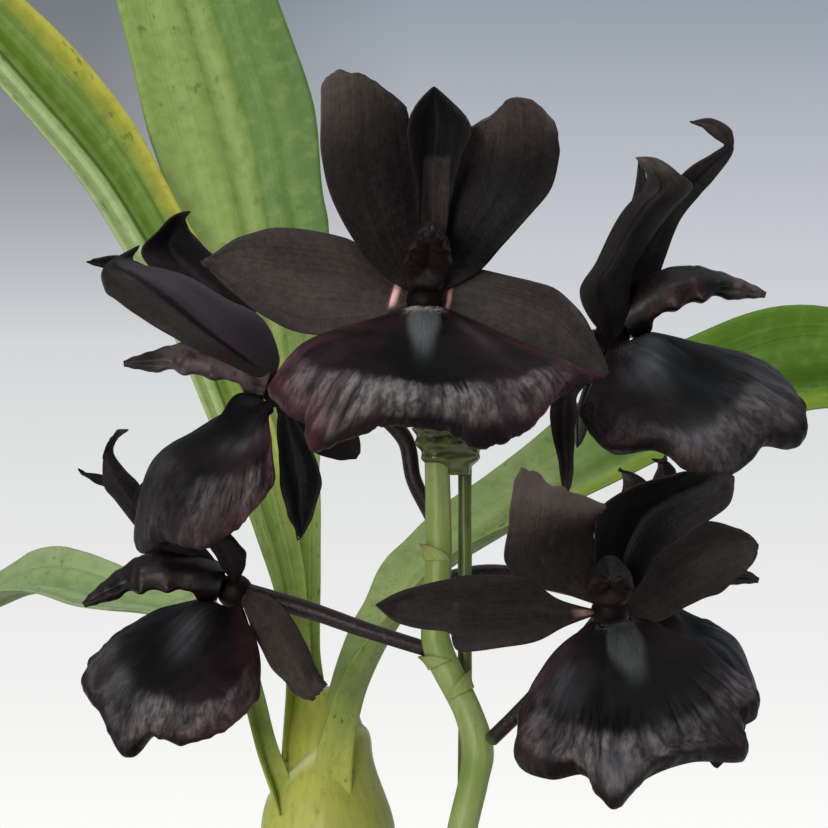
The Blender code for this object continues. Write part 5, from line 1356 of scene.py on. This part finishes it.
def tepal_paints(tepal, key, part):
    """What the petals' finish reads at each place: how pale, with painted shade at the foot and along creases and
    painted light on a flat band, how purple, and the pink crest by the column.
    """
    low, high, lean = tepal.tone
    crest, crest_at = CRESTS.get((key, part), (0, 0))
    crease, purpled, crease_shade = CREASES.get((key, part), (None, 0, 0))
    lit_banded = (key, part) == LIT_FLAT_BAND

    def tone(u, v):
        # darker at the foot than at the tip: partly the blade's own colour, partly painted shade of the cupped base
        shade = low + (high - low) * ease(0.4, 0.9, u) + lean * v * ease(0.2, 0.7, u)
        # painted light: a flat band down the middle of this sepal is painted paler, as if lit, against its darker
        # cupped top
        if lit_banded:
            half = 1.02 - 0.48 * ease(0.15, 0.46, u)
            shade += 0.72 * ease(half + 0.04, half - 0.04, abs(v - 0.08)) * ease(0.12, 0.18, u) * ease(0.48, 0.44, u)
        if crease is not None:
            # painted shade: a dark line along the fold of the petal
            shade -= crease_shade * hump((v - crease) / 0.05) * ease(0.1, 0.2, u) * ease(0.85, 0.7, u)
        return shade

    def purple(u, v):
        if crease is None:
            return 0.15 * ease(0.5, 1, abs(v)) * ease(0.1, 0.4, u)
        return purpled * ease(crease - 0.04, crease - 0.12, v) * ease(0.05, 0.2, u) * ease(0.9, 0.6, u)

    def spot(u, v):
        return crest * crest_spot(u, v, crest_at)

    return {"paint": tone, "purple": purple, "crest": spot}


def make_tepals(name, key, flower, thickness, seed):
    """The three sepals and two petals, joined where they spring from the top of the ovary."""
    centre = Vector(flower.centre)
    bm = bmesh.new()
    bm.loops.layers.uv.new("UVMap")
    bmesh.ops.create_icosphere(bm, subdivisions=3, radius=HUB_RADIUS * MM)
    bmesh.ops.translate(bm, verts=bm.verts, vec=centre * MM)
    pieces = [from_bmesh(name + "_hub", bm)]
    mark(pieces[0], "paint", -0.5)
    for index, (part, tepal) in enumerate(flower.tepals.items()):
        turn = seed + index * 13.7
        net = BLADES.get(key, {}).get(part)
        if net:
            place = net_tepal(net, CRESTS.get((key, part), (0, 0))[1], turn)
        else:
            end = centre + Vector(tepal.tip)
            start = centre + (end - centre).normalized() * 1.2
            place = tepal_surface(start, end, tepal, turn)
        grid = BEHIND_TEPAL_GRID if key == BEHIND else TEPAL_GRID
        pieces.append(sheet(f"{name}_{part}", *grid, place, thickness, 0.35, tepal_paints(tepal, key, part)))
    return join(pieces, name)


def make_column(name, flower):
    """The column over the lip: a stout arched rod, winged below, that narrows into the beak of the anther cap."""
    centre = Vector(flower.centre)
    tip = Vector(flower.column.tip)
    across = tip.cross(Vector((0, 0, 1))).normalized()
    up = across.cross(tip).normalized()
    start = tip.normalized() * (1.4 - flower.column.seat) + up * flower.column.seat
    start = start.normalized() * (HUB_RADIUS - 0.5)
    middle = (start + tip) / 2 + up * flower.column.arch

    def place(share, turn, spread):
        tall, wide = (size * flower.column.girth for size in interpolate(COLUMN_RINGS, share))
        point = start * (1 - share) ** 2 + middle * 2 * share * (1 - share) + tip * share ** 2
        along = ((middle - start) * (1 - share) + (tip - middle) * share).normalized()
        lift = across.cross(along).normalized()
        low = max(-math.sin(turn), 0)
        high = max(math.sin(turn), 0)
        # it is keeled above and hollowed below between two toothed wings, and a slit opens each side of the beak
        keel = 0.26 * high ** 5 - 0.2 * hump((abs(math.cos(turn)) - 0.66) / 0.26) * high
        keel *= flower.column.keel * ease(0, 0.3, share)
        hollow = 0.8 * low ** 2 * ease(0.12, 0.26, share) * ease(0.8, 0.66, share)
        flank = hump((math.sin(turn) + 0.5) / 0.24)
        teeth = sum(size * hump((share - at) / half) for at, half, size in COLUMN_TEETH)
        wing = flank * (teeth + 0.1 * ease(0.1, 0.2, share) * ease(0.68, 0.62, share))
        slit = 0.32 * hump((math.sin(turn) + 0.1 + 0.3 * (share - 0.8)) / 0.1) * ease(0.68, 0.74, share) * ease(0.99, 0.93, share)
        seam = 0.05 * hump((share - 0.62 + 0.06 * math.sin(turn)) / 0.012)
        uneven = 0.03 * ripple(share * 7, math.cos(turn) * 1.5, math.sin(turn) * 1.5) * ease(0.1, 0.3, share)
        reach = spread * (1 + keel - hollow + wing - slit - seam + uneven)
        return centre + point + across * wide * math.cos(turn) * reach + lift * tall * math.sin(turn) * reach

    column = warped_barrel(name, *COLUMN_GRID, place)
    face_outwards(column)
    reach = tip.length
    base = centre * MM

    def flush(index, co):
        """Crimson on the flanks and inside the wings, none on the beak."""
        out = (co - base) / MM
        share = out.dot(tip.normalized()) / reach
        level = out.dot(up) - flower.column.arch * 2 * share * (1 - share)
        below = ease(2.8 + 5 * flower.column.gloss, -0.5, level + 0.6)
        return flower.column.flush * ease(0.1, 0.4, share) * ease(0.74, 0.56, share) * below

    def grey_and_sheen(index, co):
        """The grey of the back half, which gives way to that of the beak: partly the column's own grey, partly painted
        highlight.
        """
        low, high = flower.column.tone
        return low + (high - low) * ease(0.72, 0.86, ((co - base) / MM).dot(tip.normalized()) / reach)

    mark(column, "paint", flush)
    mark(column, "tone", grey_and_sheen)
    mark(column, "gloss", flower.column.gloss)
    return column


def make_stalk(name, flower):
    centre = Vector(flower.centre)
    last = Vector(flower.stalk[-1])
    end = centre + (last - centre).normalized() * (HUB_RADIUS - 0.6)
    points = [*flower.stalk[:-1], tuple(end)]
    route = []
    for step in range(STALK_STEPS + 1):
        share = step / STALK_STEPS
        radius = STALK_RADIUS + (STALK_END_RADIUS - STALK_RADIUS) * share ** 1.5 + 0.06 * ripple(share * 9, centre.x)
        route.append((*smooth_route(points, share), radius))
    return tube(name, route, STALK_SIDES)


# ---------------------------------------------------------------- leaves and stems


def leaf_frame(leaf, share):
    step = 0.004
    low, high = max(share - step, 0), min(share + step, 1)
    point = Vector(smooth_route(leaf.route, share)[:3])
    along = (Vector(smooth_route(leaf.route, high)[:3]) - Vector(smooth_route(leaf.route, low)[:3])).normalized()
    side = along.cross(Vector(leaf.face).lerp(Vector(leaf.face_end), share)).normalized()
    return point, side, side.cross(along)


def leaf_surface(leaf, pleat_depth, seed):
    """The middle surface of a pleated leaf: a channelled stalk that opens into a long blade folded along its midrib."""
    frames = {}

    def place(u, v):
        if u not in frames:
            low, high = CHANNEL_OPENS
            opening = interpolate(((0, 0), (low, 0), (high, 1), (1, 1)), u)[0]
            frames[u] = (*leaf_frame(leaf, u), opening, interpolate(leaf.widths, u)[0] / 2)
        point, side, face, opening, half = frames[u]
        fold = math.radians(CHANNEL_FOLD + (leaf.fold - CHANNEL_FOLD) * opening)
        pleat = pleat_depth * opening * min(half / 8, 1) * (1 - abs(v)) ** 0.5 * -math.cos(abs(v) * PLEATS * math.pi)
        rib = 0.25 * pleat_depth * math.cos(abs(v) * PLEATS * 3 * math.pi) * opening * (1 - abs(v))
        wave = 0.06 * half * math.sin(u * 19) * v * v * opening
        sway = 0.05 * half * ripple(u * 7, seed, v) * opening
        half = half * (1 + 0.02 * ripple(u * 16, seed + 4, v))
        return point + side * v * half * math.cos(fold) + face * (abs(v) * half * math.sin(fold) + pleat + rib + wave + sway)

    return place


def bulb_radius(widest, share, turn, sheathed):
    """Radius of a growth in millimetres, and how near the margin of a sheath or the ring of an old one this place is."""
    radius = widest * interpolate(BULB_OUTLINE, share)[0]
    if not sheathed:
        ring = abs(math.cos(share * 6 * math.pi)) ** 40
        radius += 0.5 * math.cos(share * 6 * math.tau) ** 8 - 0.4 * math.cos(turn * 5) - 0.25 * math.cos(turn * 17 + 3 * share)
        return radius + 0.35 * ring, ring
    margin = 0
    for height, slant, facing in SHEATHS:
        edge = height + slant * math.cos(turn - math.radians(facing)) + 0.006 * ripple(math.cos(turn), math.sin(turn), height * 9)
        radius += SHEATH_STEP * ease(0.004, -0.004, share - edge)
        margin = max(margin, 0.8 * hump((share - edge + 0.007) / 0.009))
    return radius + 0.12 * math.cos(turn * 24) * (1 - share), margin


def make_bulb(name, foot, top, widest, sheathed):
    foot, top = Vector(foot), Vector(top)

    def place(share, turn, spread):
        radius = bulb_radius(widest, share, turn, sheathed)[0] * spread
        return foot.lerp(top, share) + Vector((math.cos(turn), math.sin(turn), 0)) * radius

    bulb = warped_barrel(name, *(BULB_GRID if sheathed else OLD_BULB_GRID), place)

    def polar(co):
        share = min(max((co.z / MM - foot.z) / (top.z - foot.z), 0), 1)
        out = co / MM - foot.lerp(top, share)
        return share, math.atan2(out.y, out.x)

    mark(bulb, "paint", lambda index, co: bulb_radius(widest, *polar(co), sheathed)[1])
    # painted shade: the growth is darker on its side towards +X, away from the lamps
    mark(bulb, "tone", lambda index, co: ease(-0.2, 1, math.cos(polar(co)[1] + 0.3)) * 0.6)
    return bulb


# ---------------------------------------------------------------- operators


class ORCHID_OT_pot(bpy.types.Operator):
    """Turn the clay pot with its rim, foot and drainage holes"""

    bl_idname = "orchid.pot"
    bl_label = "Pot"

    def execute(self, context):
        rim_foot = POT_HEIGHT - POT_RIM_HEIGHT
        body_top = POT_RIM_RADIUS - POT_RIM_STEP - 1.5
        taper = (POT_RIM_RADIUS - POT_RIM_STEP - POT_FOOT_RADIUS) * (BARK_TOP - POT_FLOOR) / (POT_HEIGHT - POT_FLOOR)
        inner = POT_FOOT_RADIUS + taper - POT_WALL
        shares = [step / POT_WALL_STEPS for step in range(POT_WALL_STEPS + 1)]
        wall = [(POT_FOOT_RADIUS + (body_top - 1 - POT_FOOT_RADIUS) * share, 1.5 + (rim_foot - 2.5) * share) for share in shares]
        profile = [
            (0, 0), (POT_FOOT_RADIUS - 1.5, 0), (POT_FOOT_RADIUS - 0.5, 0.4), *wall, (body_top, rim_foot),
            (POT_RIM_RADIUS - 1.5, rim_foot), (POT_RIM_RADIUS - 0.8, rim_foot + 0.3), (POT_RIM_RADIUS - 0.3, rim_foot + 1.5),
            (POT_RIM_RADIUS - 0.1, rim_foot + 10), (POT_RIM_RADIUS, POT_HEIGHT - 2), (POT_RIM_RADIUS - 0.6, POT_HEIGHT - 0.6),
            (POT_RIM_RADIUS - 1.8, POT_HEIGHT), (POT_RIM_RADIUS - 5.6, POT_HEIGHT), (POT_RIM_RADIUS - 6.9, POT_HEIGHT - 0.6),
            (POT_RIM_RADIUS - 7.5, POT_HEIGHT - 2), (inner, BARK_TOP), (POT_FOOT_RADIUS - POT_WALL, POT_FLOOR), (0, POT_FLOOR),
        ]
        pot = turned("thrown_pot", profile, POT_SIDES)
        for index in range(POT_DRAINS):
            turn = math.tau * (index + 0.25) / POT_DRAINS
            bm = bmesh.new()
            radius = POT_DRAIN_RADIUS * MM
            bmesh.ops.create_cone(bm, cap_ends=True, segments=DRAIN_SIDES, radius1=radius, radius2=radius, depth=3 * POT_FLOOR * MM)
            bmesh.ops.translate(bm, verts=bm.verts, vec=Vector((math.cos(turn), math.sin(turn), 0)) * POT_DRAIN_RING * MM)
            drill = from_bmesh(f"drill_{index}", bm)
            hole = pot.modifiers.new("drain", "BOOLEAN")
            hole.object = drill
            hole.solver = "EXACT"
            bake(pot)
            bpy.data.objects.remove(drill)
        pot.data.set_sharp_from_angle(angle=math.radians(50))
        dress(pot, clay_finish(context.scene.orchid_sizes, context.scene.orchid_colours), "pot")
        return {"FINISHED"}


class ORCHID_OT_bark(bpy.types.Operator):
    """Fill the pot with bark and heap loose chips on top"""

    bl_idname = "orchid.bark"
    bl_label = "Bark"

    def execute(self, context):
        sizes = context.scene.orchid_sizes
        rim = (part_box("bark")[1] / MM).x - 0.4
        foot = POT_FLOOR + 2
        bed = [(0, foot), (POT_FOOT_RADIUS - POT_WALL - 2, foot), (rim - 1, BARK_TOP - 5), (rim - 3, BARK_TOP - 4), (0, BARK_TOP - 4)]
        pieces = [turned("bark_bed", bed, BED_SIDES)]
        mark(pieces[0], "tone", 0.0)
        draw = random.Random(sizes.chip_seed)
        golden = math.pi * (3 - math.sqrt(5))
        for index in range(BARK_CHIPS):
            far = (rim - 7) * math.sqrt((index + 0.5) / BARK_CHIPS)
            turn = index * golden + draw.uniform(-0.2, 0.2)
            long = draw.uniform(*CHIP_LENGTH)
            size = Vector((long, long * draw.uniform(0.45, 0.75), draw.uniform(3, 6)))
            bm = bmesh.new()
            bm.loops.layers.uv.new("UVMap")
            bmesh.ops.create_cube(bm, size=1)
            bmesh.ops.subdivide_edges(bm, edges=bm.edges, cuts=2, use_grid_fill=True)
            for vert in bm.verts:
                vert.co += noise.noise_vector(vert.co * 1.6 + Vector((index * 3.1, 0, 0))) * 0.2
                vert.co *= 1 - 0.12 * vert.co.length_squared
            tilt = Matrix.Rotation(draw.uniform(-0.5, 0.5), 4, "X") @ Matrix.Rotation(draw.uniform(-0.3, 0.3), 4, "Y")
            centre = Vector((far * math.cos(turn), far * math.sin(turn), BARK_TOP - 2.5 - draw.uniform(0, 2.5)))
            matrix = Matrix.Translation(centre) @ Matrix.Rotation(draw.uniform(0, math.tau), 4, "Z") @ tilt @ Matrix.Diagonal((*size, 1))
            bmesh.ops.transform(bm, matrix=Matrix.Scale(MM, 4) @ matrix, verts=bm.verts)
            chip = from_bmesh(f"chip_{index}", bm)
            mark(chip, "tone", draw.random())
            pieces.append(chip)
        bark = join(pieces, "bark_chips")
        bark.data.set_sharp_from_angle(angle=math.radians(38))
        dress(bark, bark_finish(sizes, context.scene.orchid_colours), "bark")
        return {"FINISHED"}


class ORCHID_OT_growths(bpy.types.Operator):
    """Grow the sheathed leafy growth and the two old leafless ones"""

    bl_idname = "orchid.growths"
    bl_label = "Growths"

    def execute(self, context):
        sizes, colours = context.scene.orchid_sizes, context.scene.orchid_colours
        leafy = make_bulb("sheathed_growth", LEAFY_BULB_FOOT, LEAFY_BULB_TOP, LEAFY_BULB_RADIUS, True)
        dress(leafy, growth_finish(sizes, colours), "leafy_bulb")
        old = old_growth_finish(sizes, colours)
        for name, (foot, top, widest) in BACK_BULBS.items():
            dress(make_bulb("old_" + name, foot, top, widest, False), old, name)
        return {"FINISHED"}


class ORCHID_OT_leaves(bpy.types.Operator):
    """Grow the six pleated leaves"""

    bl_idname = "orchid.leaves"
    bl_label = "Leaves"

    def execute(self, context):
        sizes = context.scene.orchid_sizes
        for seed, (name, leaf) in enumerate(LEAVES.items()):
            place = leaf_surface(leaf, sizes.pleat_depth / MM, seed * 7.3)
            blade = sheet("pleated_" + name, *LEAF_GRID, place, sizes.leaf_thickness)
            dress(blade, leaf_finish("pleated " + name.replace("_", " "), leaf, sizes), name)
        return {"FINISHED"}


class ORCHID_OT_spike(bpy.types.Operator):
    """Grow the flower spike with its bracts"""

    bl_idname = "orchid.spike"
    bl_label = "Flower spike"

    def execute(self, context):
        sizes, colours = context.scene.orchid_sizes, context.scene.orchid_colours
        stem = tube("green_spike", [tuple(smooth_route(SPIKE_ROUTE, step / SPIKE_STEPS)) for step in range(SPIKE_STEPS + 1)], SPIKE_SIDES)
        dress(stem, spike_finish(sizes, colours), "flower_spike")
        bracts = []
        for index, (share, facing) in enumerate(SPIKE_BRACTS):
            x, y, z, radius = smooth_route(SPIKE_ROUTE, share)
            ahead = Vector(smooth_route(SPIKE_ROUTE, share + 0.01)[:3]) - Vector((x, y, z))
            along = ahead.normalized()
            out = Vector((math.cos(math.radians(facing)), math.sin(math.radians(facing)), 0))
            out = (out - along * out.dot(along)).normalized()
            side = along.cross(out)

            def place(u, v, foot=Vector((x, y, z)), along=along, out=out, side=side, radius=radius):
                turn = v * 2.3 * (1 - u) ** 0.55
                far = radius + 0.25 + 0.9 * u * u
                return foot + along * BRACT_LENGTH * (u - 0.1) + (out * math.cos(turn) + side * math.sin(turn)) * far

            bracts.append(sheet(f"bract_{index}", *BRACT_GRID, place, BRACT_THICKNESS * MM, 0.6))
        dress(join(bracts, "spike_bracts"), bract_finish(sizes), "flower_spike")
        return {"FINISHED"}


class ORCHID_OT_stake(bpy.types.Operator):
    """Set the green plastic stake and the clip that holds the spike to it"""

    bl_idname = "orchid.stake"
    bl_label = "Stake and clip"

    def execute(self, context):
        sizes = context.scene.orchid_sizes
        route = []
        for step in range(STAKE_STEPS + 1):
            z = STAKE_FOOT + (STAKE_TOP - STAKE_FOOT) * step / STAKE_STEPS
            route.append((STAKE_X, STAKE_Y, z, STAKE_RADIUS + 0.05 * math.cos(step * 0.9)))
        dress(tube("ribbed_stake", route, STAKE_SIDES), stake_finish(sizes), "stake")
        half = CLIP_LENGTH / 2
        outer, inner = [], []
        for step in range(CLIP_STEPS + 1):
            s = step / CLIP_STEPS
            radius = half - 3.4 * (1 - s) ** 2.2 + CLIP_FLARE * 0.6 * s ** 2
            outer.append((radius + 0.35 * math.cos(s * CLIP_RIBS * math.tau), CLIP_LOW + (CLIP_HIGH - CLIP_LOW) * s))
            inner.insert(0, (radius - CLIP_WALL, CLIP_LOW + (CLIP_HIGH - CLIP_LOW) * s))
        clip = turned("stem_clip", outer + inner, CLIP_SIDES, ring=True)
        spike = Vector(smooth_route(SPIKE_ROUTE, CLIP_HOLD)[:3])
        across = Vector((STAKE_X, STAKE_Y, 0)) - spike
        middle = Matrix.Translation(Vector(((spike.x + STAKE_X) / 2, (spike.y + STAKE_Y) / 2, 0)) * MM)
        oval = Matrix.Diagonal((1, CLIP_WIDTH / CLIP_LENGTH, 1, 1))
        clip.data.transform(middle @ Matrix.Rotation(math.atan2(across.y, across.x), 4, "Z") @ oval)
        dress(clip, clip_finish(sizes), "clip")
        return {"FINISHED"}


class ORCHID_OT_flowers(bpy.types.Operator):
    """Grow the six flowers: stalk, column, lip, and petals with sepals"""

    bl_idname = "orchid.flowers"
    bl_label = "Flowers"

    def execute(self, context):
        sizes, colours = context.scene.orchid_sizes, context.scene.orchid_colours
        petal, lip_skin = petal_finish(sizes, colours), lip_finish(sizes, colours)
        column_skin, stalk_skin = column_finish(sizes, colours), stalk_finish(sizes, colours)
        for index, (name, flower) in enumerate(FLOWERS.items()):
            seed = index * 71.3
            dress(make_stalk("dark_" + name + "_stalk", flower), stalk_skin, name + "_stalk")
            dress(make_column("beaked_" + name + "_column", flower), column_skin, name + "_column")
            look, middle, crinkle = LIP_LOOKS[name], LIP_MIDDLES.get(name, 0), sizes.crinkle_depth / MM
            if name in LIPS:
                place = net_lip(Vector(flower.centre), LIPS[name], look, middle, crinkle, seed)
            else:
                place = lip_surface(Vector(flower.centre), flower.lip, look, crinkle, seed)
            grid = BEHIND_LIP_GRID if name == BEHIND else LIP_GRID
            lip = sheet("shell_" + name + "_lip", *grid, place, sizes.lip_thickness, 0.3, lip_paints(look, middle, seed))
            dress(lip, lip_skin, name + "_lip")
            tepals = make_tepals("velvet_" + name + "_tepals", name, flower, sizes.petal_thickness, seed)
            dress(tepals, petal, name + "_tepals")
        return {"FINISHED"}


class ORCHID_OT_stage(bpy.types.Operator):
    """Set the floor, the backdrop, the lights and the camera"""

    bl_idname = "orchid.stage"
    bl_label = "Stage"

    def execute(self, context):
        scene = context.scene
        scene.view_settings.view_transform = "Standard"
        self.floor()
        self.backdrop(scene)
        for name, settings in LAMPS.items():
            self.lamp(name, *settings)
        lens = bpy.data.cameras.new("camera")
        lens.sensor_width = SENSOR
        lens.lens = LENS
        lens.clip_start = 10 * MM
        camera = bpy.data.objects.new("camera", lens)
        camera.location = Vector(CAMERA) * MM
        camera.rotation_euler = (math.radians(90), 0, 0)
        scene.collection.objects.link(camera)
        scene.camera = camera
        return {"FINISHED"}

    def floor(self):
        """A pale matt table top that fades out at its edge."""
        bm = bmesh.new()
        bmesh.ops.create_circle(bm, cap_ends=True, segments=FLOOR_SIDES, radius=FLOOR_RADIUS * MM)
        table = from_bmesh("floor", bm)
        made, tree, shader = new_finish("pale floor", Roughness=0.85, Specular_IOR_Level=0.2)
        shader.inputs["Base Color"].default_value = (*linear("e4e3e0"), 1)
        place = add_node(tree, "TexCoord", out="Object")
        far = add_node(tree, "VectorMath", (place,), "Value", operation="LENGTH")
        plug(tree, shader, Alpha=add_node(tree, "MapRange", (far, 0.6 * FLOOR_RADIUS * MM, FLOOR_RADIUS * MM, 1, 0)))
        table.data.materials.append(made)

    def backdrop(self, scene):
        """A backdrop that goes from near white below to grey blue above."""
        world = bpy.data.worlds.new("backdrop")
        scene.world = world
        world.use_nodes = True
        tree = world.node_tree
        direction = add_node(tree, "TexCoord")
        right, ahead, above = (add_node(tree, "SeparateXYZ", (direction,), axis) for axis in "XYZ")
        share = add_node(tree, "MapRange", (above, BACKDROP_LOW, BACKDROP_HIGH))
        sides = []
        for table in (BACKDROP, ROOM):
            stops = [((z - BACKDROP_LOW) / (BACKDROP_HIGH - BACKDROP_LOW), tone) for z, tone in table]
            sides.append(add_node(tree, "ValToRGB", {"Fac": share}, stops=stops))
        # the backdrop is darker towards its top left
        leftward, upward = add_node(tree, "MapRange", (right, 0.0, -0.09)), add_node(tree, "MapRange", (above, 0.02, 0.08))
        corner = add_node(tree, "Math", (leftward, upward), **TIMES)
        dimmed = add_node(tree, "Mix", {0: 1.0, FIRST: sides[0], SECOND: "c8c5c4"}, blend_type="MULTIPLY", **MIXED)
        sides[0] = add_node(tree, "Mix", {0: corner, FIRST: sides[0], SECOND: dimmed}, **MIXED)
        behind = add_node(tree, "MapRange", (ahead, 0.5, -0.4))
        tones = add_node(tree, "Mix", {0: behind, FIRST: sides[0], SECOND: sides[1]}, **MIXED)
        tree.links.new(tones, tree.nodes["Background"].inputs["Color"])

    def lamp(self, name, place, size, power, tone):
        light = bpy.data.lights.new(name, "AREA")
        light.size = size * MM
        light.energy = power
        light.color = linear(tone)
        lamp = bpy.data.objects.new(name, light)
        lamp.location = Vector(place) * MM
        lamp.rotation_euler = (Vector(LAMP_AIM) - Vector(place)).to_track_quat("-Z", "Y").to_euler()
        bpy.context.scene.collection.objects.link(lamp)


class ORCHID_PT_panel(bpy.types.Panel):
    """Lists the pieces of the plant"""

    bl_idname = "ORCHID_PT_panel"
    bl_label = "Potted orchid"
    bl_space_type = "VIEW_3D"
    bl_region_type = "UI"
    bl_category = "Orchid"

    def draw(self, context):
        for group in (context.scene.orchid_sizes, context.scene.orchid_colours):
            box = self.layout.box()
            for name in group.bl_rna.properties.keys():
                if name not in ("rna_type", "name"):
                    box.prop(group, name)
        for operator in PIECES:
            self.layout.operator(operator.bl_idname)


PIECES = (
    ORCHID_OT_pot, ORCHID_OT_bark, ORCHID_OT_growths, ORCHID_OT_leaves, ORCHID_OT_spike, ORCHID_OT_stake, ORCHID_OT_flowers,
    ORCHID_OT_stage,
)
CLASSES = (OrchidSizes, OrchidColours, *PIECES, ORCHID_PT_panel)


def register():
    for item in CLASSES:
        bpy.utils.register_class(item)
    bpy.types.Scene.orchid_sizes = PointerProperty(type=OrchidSizes)
    bpy.types.Scene.orchid_colours = PointerProperty(type=OrchidColours)


def unregister():
    del bpy.types.Scene.orchid_sizes
    del bpy.types.Scene.orchid_colours
    for item in reversed(CLASSES):
        bpy.utils.unregister_class(item)


def main():
    register()
    for operator in PIECES:
        name = operator.bl_idname.split(".")[1]
        getattr(bpy.ops.orchid, name)()


if __name__ == "__main__":
    main()
